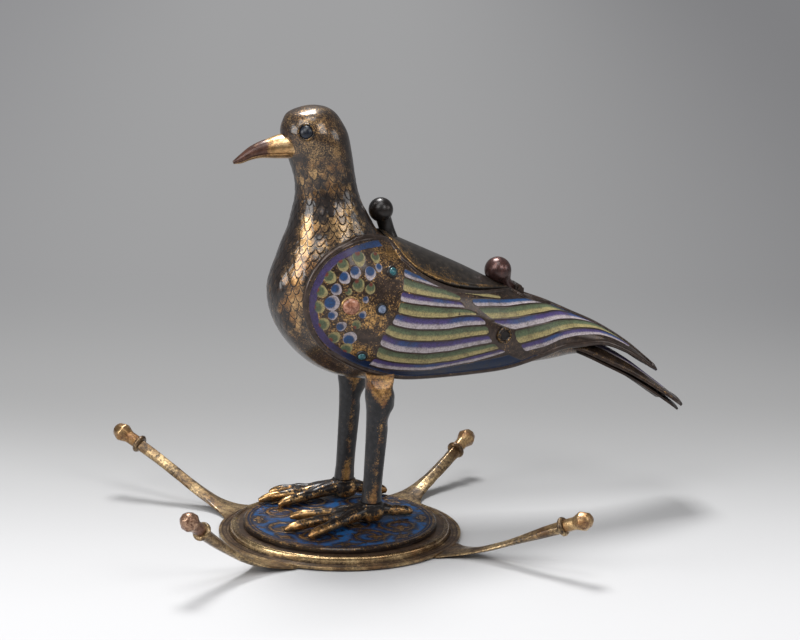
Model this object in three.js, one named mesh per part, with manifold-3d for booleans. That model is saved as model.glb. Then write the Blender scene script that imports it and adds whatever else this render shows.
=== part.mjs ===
// A eucharistic dove: a hollow copper bird with enamelled wings and tail and a lid in its back,
// standing on an enamelled disk in a round dish with four raised arms.
// Millimetres, +Z up. The origin is the centre of the dish's underside. The bird faces -X,
// its left side faces -Y.

import * as THREE from 'three';
import { mergeVertices } from 'three/addons/utils/BufferGeometryUtils.js';
import Module from 'manifold-3d';

const wasm = await Module();
wasm.setup();

// Driving dimensions

const FIT = 0.3;                    // gap left between two pieces that sit on each other

const DISH_RADIUS = 52.2;
const DISH_EDGE = 1.9;              // thickness of the flat flange at its edge
const DISH_UNDERCUT = 2;            // the edge is turned up off the floor
const DISH_FLOOR = 1.6;             // sheet under the enamelled disk
const DISH_SIDES = 48;
const DISH_WELL_RADIUS = 38;        // the hollow under the disk
const DISH_STEP_RADIUS = 47.4;      // foot of the raised ring
const DISH_RING_RADIUS = 46.2;      // crest of the raised ring
const DISH_RING_HEIGHT = 4.7;
const DISH_LEDGE = 4.3;             // height of the ledge that carries the disk
const DISK_RADIUS = 41.6;
const DISK_THICKNESS = 2;

const ARM_ROOT_WIDTH = 22;
const ARM_FLARE_LENGTH = 9;         // how fast the root narrows to the bar
const ARM_BAR_WIDTH = 6;
const ARM_BAR_HEIGHT = 5.2;
const ARM_TENON_RADIUS = 1.2;
const ARM_TENON_LENGTH = 5.5;
const TENON_CLEARANCE = 0.3;
const COLLAR_RADIUS = 4.1;
const COLLAR_THICKNESS = 2.2;
const KNOB_RADIUS = 4.4;
const KNOB_NECK_RADIUS = 2.9;
const KNOB_REACH = 9.6;             // from the collar's middle to the knob's middle
// Each arm was hammered and bent by hand: where it leaves the dish, where its knob points, how far
// out, how high and how steeply the knob stands, and how thick the arm is at its middle.
const ARMS = [
  { name: 'front_left', root: 220, heading: 215, reach: 101.8, height: 30.6, rise: 37.6, middle: 3.2 },
  { name: 'front_right', root: 131, heading: 131, reach: 113, height: 27.5, rise: 23.7, middle: 4.6 },
  { name: 'rear_left', root: -47, heading: -48, reach: 114.4, height: 24.6, rise: 23.4, middle: 2.6 },
  { name: 'rear_right', root: 40, heading: 38, reach: 104.9, height: 18, rise: 21.4, middle: 4 },
];

const BIRD_Y = 12;                  // the bird stands off the middle of its disk
const PLATE = 1.5;                  // enamelled plates and lid
const SHELL = 1.3;                  // sheet of the body
const PLATE_GAP = 0.45;             // body to the plates that lie on it
const SEAM = 0.3;                   // between the two halves of the body
const RIM_RISE = 0.9;               // raised rim of a wing above its enamel
const RIM_WIDTH = 2.6;

const LID_SLIT = 0.9;               // between the lid and the wings beside it
const LID_LAP = 2.2;                // how far the lid covers the edge of its opening
const CUP_FLOOR = 82;               // height of the cup's underside inside the bird
const CUP_WALL = 1.2;
const HINGE = { x: 83.4, z: 101.7, barrelRadius: 1.7, pinRadius: 0.7, bore: 0.75 };
const HINGE_WIDTH = 8.4;
const LID_KNUCKLE_WIDTH = 2.6;

const LEG_LEFT_Y = -6.2;
const LEG_RIGHT_Y = 30.2;
const LEG_ANKLE_Z = 15.4;
const LEG_TENON_RADIUS = 2.4;
const LEG_TENON_LENGTH = 6;
const LEG_TENON_INBOARD = 4.6;      // the tenon stands clear of the wing's lower edge
const FOOT_PIN_RADIUS = 1.5;

const EYE_RADIUS = 2.8;
const EYE_STATION = 3.62;
const EYE_TURN = 119;
const BEZEL_WIDTH = 0.7;
const CABOCHON_SETTING = 0.6;       // height of the collar round a stone
const RIVET_RADIUS = 1.1;

// Finishes

const finish = (color, roughness, metalness) => ({ color, roughness, metalness });
const DARK_COPPER = finish(0x4b372a, 0.45, 0.85);
const GILT = finish(0xb98f4d, 0.38, 0.95);
const OLD_BRASS = finish(0x8f744b, 0.45, 0.9);
const BLUE_ENAMEL = finish(0x24467f, 0.3, 0.1);
const WING_ENAMEL = finish(0x5f6f7c, 0.35, 0.15);
const DARK_BRONZE = finish(0x3b332e, 0.4, 0.85);
const RED_COPPER = finish(0x6b4034, 0.35, 0.8);
const GLASS_BLUE = finish(0x1d2c4c, 0.1, 0);
const TURQUOISE = finish(0x3f8a92, 0.25, 0);
const PALE_BLUE = finish(0x8c9dbb, 0.25, 0);
const AMBER = finish(0xa4603a, 0.25, 0);

// Solids

const vector = (x, y, z) => new THREE.Vector3(x, y, z);
const radians = THREE.MathUtils.degToRad;
const mix = THREE.MathUtils.lerp;
const between = (low, high, value) => THREE.MathUtils.smoothstep(value, low, high);

function solid(geometry) {
  const bare = geometry.clone();
  bare.deleteAttribute('normal');
  bare.deleteAttribute('uv');
  const merged = mergeVertices(bare, 1e-4);
  const mesh = new wasm.Mesh({
    numProp: 3,
    vertProperties: new Float32Array(merged.attributes.position.array),
    triVerts: new Uint32Array(merged.index.array),
  });
  return new wasm.Manifold(mesh);
}

function geometryOf(manifold) {
  const mesh = manifold.getMesh();
  const geometry = new THREE.BufferGeometry();
  geometry.setAttribute('position', new THREE.BufferAttribute(mesh.vertProperties, 3));
  geometry.setIndex(new THREE.BufferAttribute(mesh.triVerts, 1));
  return geometry;
}

// A closed solid through a row of rings with equally many points, capped at both ends.
function loftGeometry(rings) {
  const count = rings[0].length;
  const centre = (ring) => ring.reduce((sum, p) => sum.add(p), vector(0, 0, 0)).divideScalar(count);
  const points = [...rings.flat(), centre(rings[0]), centre(rings.at(-1))];
  const first = points.length - 2;
  const last = points.length - 1;
  const faces = [];
  for (let i = 0; i < rings.length - 1; i += 1) {
    for (let j = 0; j < count; j += 1) {
      const a = i * count + j;
      const b = i * count + (j + 1) % count;
      faces.push(a, b, a + count, b, b + count, a + count);
    }
  }
  const end = (rings.length - 1) * count;
  for (let j = 0; j < count; j += 1) {
    const next = (j + 1) % count;
    faces.push(first, next, j, last, end + j, end + next);
  }
  let volume = 0;
  for (let i = 0; i < faces.length; i += 3) {
    const [a, b, c] = [points[faces[i]], points[faces[i + 1]], points[faces[i + 2]]];
    volume += a.dot(b.clone().cross(c));
  }
  if (volume < 0) faces.reverse();
  const geometry = new THREE.BufferGeometry().setFromPoints(points);
  geometry.setIndex(faces);
  return geometry;
}

const loft = (rings) => solid(loftGeometry(rings));

// The largest of the bodies that a cut leaves behind.
function largest(manifold) {
  return manifold.decompose().reduce((best, each) => (each.volume() > best.volume() ? each : best));
}

function turned(profile, sides) {
  return new THREE.LatheGeometry(profile.map(([r, z]) => new THREE.Vector2(r, z)), sides).rotateX(Math.PI / 2);
}

// A geometry whose +Z is turned to `direction` and whose origin is put at `place`.
function aimed(geometry, place, direction) {
  const turn = new THREE.Quaternion().setFromUnitVectors(vector(0, 0, 1), direction.clone().normalize());
  return geometry.clone().applyQuaternion(turn).translate(place.x, place.y, place.z);
}

function block(low, high) {
  const size = high.clone().sub(low);
  const middle = high.clone().add(low).divideScalar(2);
  return solid(new THREE.BoxGeometry(size.x, size.y, size.z).translate(middle.x, middle.y, middle.z));
}

function rod(radius, from, to, sides = 16) {
  const along = to.clone().sub(from);
  const profile = [[0, 0], [radius, 0], [radius, along.length()], [0, along.length()]];
  return solid(aimed(turned(profile, sides), from, along));
}

// A round bar of changing thickness: each stop has a place, a radius and, if it is flattened,
// a smaller half-height.
function bar(stops, sides) {
  const rings = stops.map(({ at, radius, flat = radius }, i) => {
    const before = stops[Math.max(i - 1, 0)].at;
    const after = stops[Math.min(i + 1, stops.length - 1)].at;
    const along = after.clone().sub(before).normalize();
    const up = Math.abs(along.z) > 0.8 ? vector(1, 0, 0) : vector(0, 0, 1);
    const side = along.clone().cross(up).normalize();
    const rise = side.clone().cross(along).normalize();
    return Array.from({ length: sides }, (_, j) => {
      const angle = (j + 0.5) * 2 * Math.PI / sides;
      return at.clone()
        .addScaledVector(side, radius * Math.cos(angle))
        .addScaledVector(rise, flat * Math.sin(angle));
    });
  });
  return loft(rings);
}

// Forms of the bird

// A form is a row of cuts across the bird. Each cut is an oval from a point on the back line to a
// point on the breast line, with a half-width across the bird. A station counts cuts from the
// first one, a turn goes round the oval in degrees from the back, positive on the left side.
const cut = (backX, backZ, breastX, breastZ, halfWidth) => ({
  back: vector(backX, halfWidth, backZ),
  breast: vector(breastX, 0, breastZ),
});

function form(cuts) {
  const backLine = new THREE.CatmullRomCurve3(cuts.map((c) => c.back), false, 'catmullrom', 0.5);
  const breastLine = new THREE.CatmullRomCurve3(cuts.map((c) => c.breast), false, 'catmullrom', 0.5);
  return (station, turn, lift = 0) => {
    const along = station / (cuts.length - 1);
    const back = backLine.getPoint(along);
    const breast = breastLine.getPoint(along);
    const halfWidth = Math.max(back.y + lift, 0.05);
    back.y = 0;
    const middle = back.clone().add(breast).divideScalar(2);
    const half = back.clone().sub(breast).divideScalar(2);
    const length = half.length();
    half.multiplyScalar(Math.max(length + lift, 0.05) / Math.max(length, 1e-6));
    middle.addScaledVector(half, Math.cos(radians(turn)));
    middle.y = BIRD_Y - halfWidth * Math.sin(radians(turn));
    return middle;
  };
}

const HEAD_AND_BODY = [
  cut(-9.8, 185.4, -9.9, 185.4, 0),
  cut(-4.6, 184.3, -15.2, 184.5, 5.2),
  cut(-1, 182.1, -20.9, 182.3, 9.3),
  cut(1.8, 178.4, -23.1, 179.2, 11.8),
  cut(4.6, 173, -24.2, 174, 13.6),
  cut(6.4, 165, -22.2, 167, 13.6),
  cut(8.4, 153.5, -18.5, 156.3, 12.8),
  cut(10.1, 146.4, -17.5, 149.3, 13.4),
  cut(12.6, 140.7, -18.1, 142.8, 15.4),
  cut(17, 134.4, -21.2, 133.2, 19),
  cut(20.7, 131, -25.6, 124.4, 22.5),
  cut(24.8, 128.5, -28.8, 112, 25.5),
  cut(29.4, 126.6, -28.4, 99, 27.5),
  cut(34.5, 124.3, -23.2, 87, 28.5),
  cut(40.2, 121.7, -12.5, 75.3, 29),
  cut(46.3, 118.9, 1.8, 67, 28.5),
  cut(53, 115.8, 17, 63.7, 27.3),
  cut(60.2, 112.3, 34.6, 62.9, 25.5),
  cut(77.7, 103.3, 68.5, 63.7, 20.5),
  cut(91, 97.1, 87, 65.4, 17),
  cut(100.4, 92.9, 99, 66.4, 15.2),
];
// Behind the body the wings fold together over the tail, while the body tapers to a tongue.
const FOLDED_WINGS = [
  cut(110.8, 88, 109.8, 67.8, 13.5),
  cut(123.2, 82, 122.2, 68.8, 11.5),
  cut(136.7, 73.3, 135.7, 64.5, 9.5),
  cut(150.4, 61.9, 149.7, 57.2, 7.5),
];
const BODY_TONGUE = [
  cut(107.2, 84.7, 107.2, 67.6, 12.2),
  cut(112.9, 75.8, 112.9, 68.3, 9.5),
  cut(119, 72.6, 119, 69.4, 7),
];
const outerForm = form([...HEAD_AND_BODY, ...FOLDED_WINGS]);
const bodyForm = form([...HEAD_AND_BODY, ...BODY_TONGUE]);
const NECK_STATION = 8;
const SHOULDER_STATION = 10.2;
const BODY_END = HEAD_AND_BODY.length + BODY_TONGUE.length - 1;
const WING_START = 8.8;
const WING_END = HEAD_AND_BODY.length + FOLDED_WINGS.length - 1;

// The body's own face lies under the wing plates and the lid. It comes out to the outer form on
// the neck and head, and between the wings along the breast.
function bodyInset(station, turn) {
  const fromBack = Math.abs((turn + 540) % 360 - 180);
  const belly = between(150, 164, fromBack) * between(10.3, 11.5, station) * (1 - between(14, 16, station));
  return (PLATE + PLATE_GAP) * between(NECK_STATION, SHOULDER_STATION, station) * (1 - belly);
}

// The body, the wings and the lid have their rings at the same stations and turns, so that their
// faces run side by side.
const RING_SIDES = 28;
const RING_STATIONS = [
  0.5, 1, 1.6, 2.3, 3.1, 4, 5, 6, 7, 8, 8.8, 9.6, 10.4, 11.2, 12, 12.8, 13.6, 14.5, 15.4, 16.3,
  17.2, 18.1, 19, 20, 21, 22, 23,
];
const CROWN_START = 0.06;

function formSolid(surface, start, end, liftAt) {
  const stations = [start, ...RING_STATIONS.filter((s) => s > start && s < end), end];
  return loft(stations.map((station) => Array.from({ length: RING_SIDES }, (_, j) => {
    const turn = j * 360 / RING_SIDES;
    return surface(station, turn, liftAt(station, turn));
  })));
}

function bodySolid(lift, start = CROWN_START, end = BODY_END) {
  return formSolid(bodyForm, start, end, (station, turn) => lift - bodyInset(station, turn));
}

const outerSolid = (lift) => formSolid(outerForm, WING_START, WING_END, () => lift);
const clearOfBody = (manifold, gap = FIT) => manifold.subtract(bodySolid(gap));

// The opening in the back and everything that lines up with it

// Half of the lid's outline in plan, from its front at the neck to its point at the hinge.
const LID_HALF_OUTLINE = [
  [20.9, 0], [21.7, 8], [23.9, 15.2], [27.8, 18.7], [33, 20], [41, 19.8],
  [49.5, 18.6], [58.5, 16.1], [67.5, 12], [75, 7.2], [79.8, 2.6], [80.8, 0],
];

function lidOutline(inset) {
  const halfLine = new THREE.CatmullRomCurve3(LID_HALF_OUTLINE.map(([x, y]) => vector(x, y, 0)));
  const half = halfLine.getSpacedPoints(18);
  const mirrored = half.slice(1, -1).reverse().map((p) => vector(p.x, -p.y, 0));
  const loop = [...half, ...mirrored];
  const count = loop.length;
  return loop.map((p, i) => {
    const along = loop[(i + 1) % count].clone().sub(loop[(i + count - 1) % count]).normalize();
    return new THREE.Vector2(p.x - along.y * -inset, BIRD_Y + p.y + along.x * -inset);
  });
}

function lidPrism(inset, low, high) {
  const shape = new THREE.Shape(lidOutline(inset));
  const geometry = new THREE.ExtrudeGeometry(shape, { depth: high - low, bevelEnabled: false });
  return solid(geometry.translate(0, 0, low));
}

const ABOVE_BACK = 150;

// Pieces. Each function returns { geometry or manifold, finish }.

const pieces = [];
function add(name, shape, look) {
  pieces.push({ name, geometry: shape.isBufferGeometry ? shape : geometryOf(shape), look });
}

// Base

function baseDish() {
  const profile = [
    [0, 0], [DISH_RADIUS - DISH_UNDERCUT, 0], [DISH_RADIUS, DISH_UNDERCUT / 3],
    [DISH_RADIUS, DISH_EDGE], [DISH_STEP_RADIUS, DISH_EDGE],
    [DISH_RING_RADIUS + 0.7, DISH_RING_HEIGHT - 0.7], [DISH_RING_RADIUS, DISH_RING_HEIGHT],
    [DISH_RING_RADIUS - 1.6, DISH_RING_HEIGHT - 0.2], [DISH_RING_RADIUS - 2.2, DISH_LEDGE],
    [DISH_WELL_RADIUS, DISH_LEDGE], [DISH_WELL_RADIUS, DISH_FLOOR], [0, DISH_FLOOR],
  ];
  return turned(profile, DISH_SIDES);
}

const DISK_TOP = DISH_LEDGE + FIT + DISK_THICKNESS;

function enamelDisk() {
  const low = DISH_LEDGE + FIT;
  const profile = [
    [0, low], [DISK_RADIUS, low], [DISK_RADIUS, DISK_TOP - 0.5], [DISK_RADIUS - 0.5, DISK_TOP], [0, DISK_TOP],
  ];
  let disk = solid(turned(profile, DISH_SIDES));
  for (const hole of footPins(FOOT_PIN_RADIUS + TENON_CLEARANCE, 0)) disk = disk.subtract(hole);
  return disk;
}

function armFrame({ root, heading, reach, height, rise, middle }) {
  const level = (angle) => vector(Math.cos(radians(angle)), Math.sin(radians(angle)), 0);
  const rootDirection = level(root);
  const tipDirection = level(heading).multiplyScalar(Math.cos(radians(rise)));
  tipDirection.z = Math.sin(radians(rise));
  const knobCentre = level(heading).multiplyScalar(reach);
  knobCentre.z = height;
  const collarCentre = knobCentre.clone().addScaledVector(tipDirection, -KNOB_REACH);
  const barEnd = collarCentre.clone().addScaledVector(tipDirection, -COLLAR_THICKNESS / 2 - FIT);
  return { rootDirection, tipDirection, knobCentre, collarCentre, barEnd, middle };
}

// An arm starts as a flat tongue against the dish's edge and rises as a bar with a ridge on top.
function arm({ rootDirection, tipDirection, barEnd, middle }) {
  const overlap = 3;
  const start = rootDirection.clone().multiplyScalar(DISH_RADIUS - overlap);
  start.z = DISH_EDGE / 2;
  const reach = barEnd.clone().sub(start).length();
  const path = new THREE.CubicBezierCurve3(
    start,
    start.clone().addScaledVector(rootDirection, reach * 0.3),
    barEnd.clone().addScaledVector(tipDirection, -reach * 0.42),
    barEnd,
  );
  const rings = path.getSpacedPoints(13).map((at, i, all) => {
    const share = i / (all.length - 1);
    const along = path.getTangentAt(share);
    const across = vector(0, 0, 1).cross(along).normalize();
    const up = along.clone().cross(across);
    const fromDish = Math.max(share * reach - overlap, 0);
    const flare = (ARM_ROOT_WIDTH - ARM_BAR_WIDTH) * Math.exp(-fromDish / ARM_FLARE_LENGTH);
    const halfWidth = (ARM_BAR_WIDTH + flare) / 2;
    const outward = mix(middle, ARM_BAR_HEIGHT, between(0.5, 1, share));
    const halfHeight = mix(DISH_EDGE, outward, between(0.1, 0.5, share)) / 2;
    const corner = (side, height) => at.clone()
      .addScaledVector(across, side * halfWidth).addScaledVector(up, height * halfHeight);
    return [corner(-1, -0.4), corner(-0.4, -1), corner(0.4, -1), corner(1, -0.4),
      corner(0.9, 0.3), corner(0, 1), corner(-0.9, 0.3)];
  });
  const underside = block(vector(-200, -200, -20), vector(200, 200, 0));
  const dishRoom = solid(turned([[0, -5], [DISH_RADIUS + FIT, -5], [DISH_RADIUS + FIT, 12], [0, 12]], DISH_SIDES));
  const tenon = rod(
    ARM_TENON_RADIUS,
    barEnd.clone().addScaledVector(tipDirection, -1),
    barEnd.clone().addScaledVector(tipDirection, ARM_TENON_LENGTH),
    8,
  );
  return loft(rings).add(tenon).subtract(dishRoom).subtract(underside);
}

function armCollar({ tipDirection, collarCentre }) {
  const hole = ARM_TENON_RADIUS + TENON_CLEARANCE;
  const half = COLLAR_THICKNESS / 2;
  const rim = COLLAR_RADIUS;
  const profile = [
    [hole, -half], [rim - 0.7, -half], [rim, 0], [rim - 0.7, half], [hole, half], [hole, -half],
  ];
  return aimed(turned(profile, 12), collarCentre, tipDirection);
}

// A faceted ball on a short eight-sided neck.
function armKnob({ tipDirection, knobCentre }) {
  const neckLow = -KNOB_REACH + COLLAR_THICKNESS / 2 + FIT;
  const ballLow = -0.9 * KNOB_RADIUS;
  const profile = [[0, neckLow], [KNOB_NECK_RADIUS, neckLow], [KNOB_NECK_RADIUS, ballLow]];
  for (const angle of [-45, 0, 45]) {
    profile.push([KNOB_RADIUS * Math.cos(radians(angle)), KNOB_RADIUS * Math.sin(radians(angle))]);
  }
  profile.push([KNOB_RADIUS * 0.35, KNOB_RADIUS], [0, KNOB_RADIUS]);
  const depth = ARM_TENON_LENGTH - COLLAR_THICKNESS - 2 * FIT + TENON_CLEARANCE;
  const bore = rod(ARM_TENON_RADIUS + TENON_CLEARANCE, vector(0, 0, neckLow - 1), vector(0, 0, neckLow + depth), 8);
  return aimed(geometryOf(solid(turned(profile, 8)).subtract(bore)), knobCentre, tipDirection);
}

// Legs and feet

const LEG_STOPS = [
  // height, place along the bird, half-width along the bird, half-width across
  [LEG_ANKLE_Z, 11.8, 4.4, 4.4],
  [LEG_ANKLE_Z + 7, 12.3, 4.1, 4.1],
  [38, 13.4, 4.4, 4.3],
  [52, 14.3, 4.9, 4.8],
  [57, 14.8, 5.5, 5.2],
  [62, 15.3, 6.6, 5.8],
  [67, 15.0, 6.2, 6.1],
  [74, 14.8, 6.5, 6.5],
  [84, 14.6, 7.0, 7.0],
];

const LEG_SIDES = 14;

// The wing on the leg's own side covers the outer part of the thigh.
function leg(y) {
  const rings = LEG_STOPS.map(([z, x, half, halfAcross]) => Array.from({ length: LEG_SIDES }, (_, j) => {
    const angle = j * 2 * Math.PI / LEG_SIDES;
    return vector(x + half * Math.cos(angle), y + halfAcross * Math.sin(angle), z);
  }));
  const side = y < BIRD_Y ? 1 : -1;
  const shaft = clearOfBody(loft(rings)).subtract(wingRegion(side, 4 * ABOVE_WING, FIT));
  return largest(shaft).add(legTenon(y, LEG_TENON_RADIUS, LEG_TENON_LENGTH));
}

function legTenon(legY, radius, length) {
  const x = LEG_STOPS.at(-2)[1];
  const y = legY + Math.sign(BIRD_Y - legY) * LEG_TENON_INBOARD;
  const top = legSocketHeight(y);
  return rod(radius, vector(x, y, top - 8), vector(x, y, top + length), 12);
}

// Height of the belly over a leg, worked out on the body's oval cuts.
function legSocketHeight(y) {
  const x = LEG_STOPS.at(-2)[1];
  let best = { miss: Infinity, z: 0 };
  for (let station = SHOULDER_STATION; station < 18; station += 0.1) {
    for (let turn = 95; turn <= 178; turn += 1) {
      const side = y < BIRD_Y ? turn : -turn;
      const p = bodyForm(station, side, -bodyInset(station, side));
      const miss = Math.hypot(p.x - x, p.y - y);
      if (miss < best.miss) best = { miss, z: p.z };
    }
  }
  return best.z;
}

const FOOT_X = 11.8;
const FOOT_TOP = LEG_ANKLE_Z - FIT;
const TOE_Z = DISK_TOP + FIT;
const LEFT_TOES = [
  { x: -21.6, y: 3.4 }, { x: -29.2, y: -12.9 }, { x: -22.1, y: -24.6 }, { x: 31.3, y: -4.6, hind: true },
];
const RIGHT_TOES = [
  { x: -21.1, y: 21.5 }, { x: -27.4, y: 30.4 }, { x: -19.4, y: 40.8 }, { x: 31, y: 27.5, hind: true },
];

// A toe springs from under the ankle, arches over its knuckle and comes down to its claw.
function toe(legY, { x, y, hind = false }) {
  const root = vector(FOOT_X + (hind ? 2 : -2), legY, TOE_Z + 4.6);
  const tip = vector(x, y, TOE_Z + 0.9);
  const at = (share, height) => {
    const p = root.clone().lerp(tip, share);
    p.z = TOE_Z + height;
    return p;
  };
  const stops = [
    { at: root, radius: 3.4 },
    { at: at(0.3, 3.6), radius: 2.5 },
    { at: at(0.55, 2.8), radius: 1.9 },
    { at: at(0.72, 2.4), radius: 2 },
    { at: at(0.88, 1.7), radius: 1.6 },
    { at: tip, radius: 0.7 },
  ];
  return bar(stops, 7);
}

function foot(y, toes) {
  const ankle = [
    [0, TOE_Z + 1], [5.4, TOE_Z + 2], [6.2, TOE_Z + 4.4], [5.6, FOOT_TOP - 1.2], [4.9, FOOT_TOP], [0, FOOT_TOP],
  ];
  let shape = solid(turned(ankle, 14).translate(FOOT_X, y, 0));
  for (const each of toes) shape = shape.add(toe(y, each));
  const ground = block(vector(-80, -80, -20), vector(80, 80, TOE_Z));
  shape = shape.subtract(ground);
  const pin = rod(FOOT_PIN_RADIUS, vector(FOOT_X, y, DISH_FLOOR + FIT), vector(FOOT_X, y, TOE_Z + 3), 12);
  return shape.add(pin);
}

function footPins(radius, low) {
  return [LEG_LEFT_Y, LEG_RIGHT_Y].map((y) => rod(radius, vector(FOOT_X, y, low), vector(FOOT_X, y, 30), 12));
}

// Body

const CROWN_INSIDE = 0.62;

function bodyShell(side) {
  let shell = bodySolid(0).subtract(bodySolid(-SHELL, CROWN_INSIDE, BODY_END - 0.25));
  shell = shell.subtract(lidPrism(LID_LAP, CUP_FLOOR + 10, ABOVE_BACK));
  for (const y of [LEG_LEFT_Y, LEG_RIGHT_Y]) {
    shell = shell.subtract(legTenon(y, LEG_TENON_RADIUS + TENON_CLEARANCE, LEG_TENON_LENGTH));
  }
  const edge = BIRD_Y + side * SEAM / 2;
  const far = BIRD_Y + side * 100;
  const half = block(vector(-100, Math.min(edge, far), 0), vector(200, Math.max(edge, far), 250));
  return shell.intersect(half);
}

// The cup hangs under the opening, held against the inside of the back.
function hostCup() {
  const inner = bodySolid(-SHELL - FIT, CROWN_INSIDE, BODY_END - 0.25);
  const outside = lidPrism(LID_LAP - CUP_WALL / 2, CUP_FLOOR, ABOVE_BACK);
  const inside = lidPrism(LID_LAP + CUP_WALL / 2, CUP_FLOOR + CUP_WALL, ABOVE_BACK);
  return inner.intersect(outside).subtract(inside);
}

// Beak

const BEAK_CUTS = [
  // top x, top z, lower x, lower z, half-width
  [-15.6, 174.8, -13.6, 162.2, 6.8],
  [-24.4, 173.4, -20.3, 163, 6.4],
  [-29, 172.1, -26.8, 163.3, 5],
  [-33.5, 170.8, -33, 163.7, 3.8],
  [-38, 168.7, -37.8, 163, 2.8],
  [-42, 165.7, -41.6, 161.8, 1.9],
  [-45.3, 163, -44.9, 161.7, 0.6],
];

function beak() {
  const rings = BEAK_CUTS.map(([topX, topZ, lowX, lowZ, half]) => Array.from({ length: 16 }, (_, j) => {
    const angle = j * Math.PI / 8;
    const share = (1 - Math.cos(angle)) / 2;
    return vector(mix(topX, lowX, share), BIRD_Y + half * Math.sin(angle), mix(topZ, lowZ, share));
  }));
  return clearOfBody(loft(rings));
}

// Eyes

// Place and outward direction of a spot on a form.
function spot(surface, station, turn, lift) {
  const at = surface(station, turn, lift);
  const alongBird = surface(station + 0.05, turn, lift).sub(surface(station - 0.05, turn, lift));
  const round = surface(station, turn + 1, lift).sub(surface(station, turn - 1, lift));
  const outward = alongBird.cross(round).normalize();
  if (outward.dot(at.clone().sub(surface(station, turn, lift - 5))) < 0) outward.negate();
  return { at, outward };
}

function dome(radius, height, seat, sides = 12) {
  const profile = [[0, -seat], [radius, -seat]];
  const rows = 3;
  for (let i = 0; i <= rows; i += 1) {
    const angle = i / rows * Math.PI / 2;
    profile.push([radius * Math.cos(angle), height * Math.sin(angle)]);
  }
  profile[profile.length - 1][0] = 0;
  return turned(profile, sides);
}

function ringBand(inner, outer, low, high, sides = 14) {
  return turned([[inner, low], [outer, low], [outer, high - 0.2], [inner, high], [inner, low]], sides);
}

function eye(side) {
  const { at, outward } = spot(bodyForm, EYE_STATION, side * EYE_TURN, 0);
  return clearOfBody(solid(aimed(dome(EYE_RADIUS, 1.7, 1.5), at, outward)));
}

function eyeBezel(side) {
  const { at, outward } = spot(bodyForm, EYE_STATION, side * EYE_TURN, 0);
  const ring = ringBand(EYE_RADIUS + FIT, EYE_RADIUS + FIT + BEZEL_WIDTH, -1.5, 0.9);
  return clearOfBody(solid(aimed(ring, at, outward)));
}

// Wings

// Ribs across the left wing from its upper edge to its lower edge, as [station, turn] pairs.
const WING_RIBS = [
  { upper: [9.3, 66], lower: [9.3, 76] },
  { upper: [9.45, 50], lower: [9.75, 101] },
  { upper: [9.8, 36], lower: [10.4, 119] },
  { upper: [10.5, 28], lower: [11.4, 132] },
  { upper: [11.4, 26], lower: [12.5, 138] },
  { upper: [12.5, 26], lower: [13.5, 141] },
  { upper: [13.5, 26], lower: [14.4, 139] },
  { upper: [14.5, 26], lower: [15.3, 139] },
  { upper: [15.5, 24], lower: [16.2, 143] },
  { upper: [16.5, 20], lower: [17, 145] },
  { upper: [17.4, 15], lower: [17.7, 144] },
  { upper: [18.1, 15], lower: [18.3, 140] },
  { upper: [18.6, 20], lower: [18.8, 132] },
  { upper: [19.2, 14], lower: [19.4, 121] },
  { upper: [20, 4], lower: [20.2, 107] },
  { upper: [21, 3], lower: [21, 103] },
  { upper: [22, 3], lower: [22, 94] },
  { upper: [23, 4], lower: [23, 90] },
  { upper: [23.7, 8], lower: [23.7, 86] },
  { upper: [24, 24], lower: [24, 62] },
];
const wingEdge = (key) => new THREE.CatmullRomCurve3(
  WING_RIBS.map((rib) => vector(rib[key][0], rib[key][1], 0)), false, 'catmullrom', 0.5,
);
const wingUpperEdge = wingEdge('upper');
const wingLowerEdge = wingEdge('lower');
const RIGHT_WING_REACH = 9;         // degrees that the right wing goes further round the breast

const ABOVE_WING = 3.2;             // clears a wing's rim

// A region through the plate of a wing, from below the plate to `height` above it. A positive
// margin makes it wider than the wing. A negative one makes it narrower, also at its ends.
function wingRegion(side, height, margin) {
  const steps = WING_RIBS.length - 1;
  const first = margin < 0 ? 1.3 : 0;
  const last = margin < 0 ? steps - 0.8 : steps;
  const shares = [0, 0.25, 0.5, 0.75, 1];
  const rings = [];
  for (let i = 0; i <= steps; i += 1) {
    const share = mix(first, last, i / steps) / steps;
    const upper = wingUpperEdge.getPoint(share);
    const lower = wingLowerEdge.getPoint(share);
    const front = between(9.4, 10.4, lower.x) * (1 - between(11.8, 13.5, lower.x));
    if (side < 0) lower.y += RIGHT_WING_REACH * front;
    const width = outerForm(upper.x, upper.y).distanceTo(outerForm(lower.x, lower.y));
    const extra = Math.max(margin / width, -0.42);
    const across = (lift) => shares.map((each) => {
      const at = upper.clone().lerp(lower, mix(-extra, 1 + extra, each));
      return outerForm(at.x, side * at.y, lift);
    });
    rings.push([...across(height), ...across(-PLATE - 0.6).reverse()]);
  }
  return loft(rings);
}

function wing(side) {
  const sheet = outerSolid(RIM_RISE).subtract(outerSolid(-PLATE));
  const outline = wingRegion(side, ABOVE_WING, 0).subtract(lidPrism(-LID_SLIT, CUP_FLOOR + 10, ABOVE_BACK));
  const inRim = wingRegion(side, ABOVE_WING + 0.2, -RIM_WIDTH);
  const field = inRim.subtract(lidPrism(-LID_SLIT - RIM_WIDTH, CUP_FLOOR + 10, ABOVE_BACK));
  return largest(clearOfBody(sheet.intersect(outline).subtract(field.subtract(outerSolid(0)))));
}

const STONES = [
  { name: 'amber', station: 12.7, turn: 101, radius: 4, height: 1.9, look: AMBER },
  { name: 'upper', station: 12.5, turn: 60, radius: 2.3, height: 1.2, look: TURQUOISE },
  { name: 'middle', station: 13.56, turn: 87, radius: 2.3, height: 1.4, look: PALE_BLUE },
  { name: 'lower', station: 14.47, turn: 124, radius: 2.2, height: 1.2, look: TURQUOISE },
];
const EMPTY_SETTING = { station: 17.86, turn: 85.8, radius: 2.4 };

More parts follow.
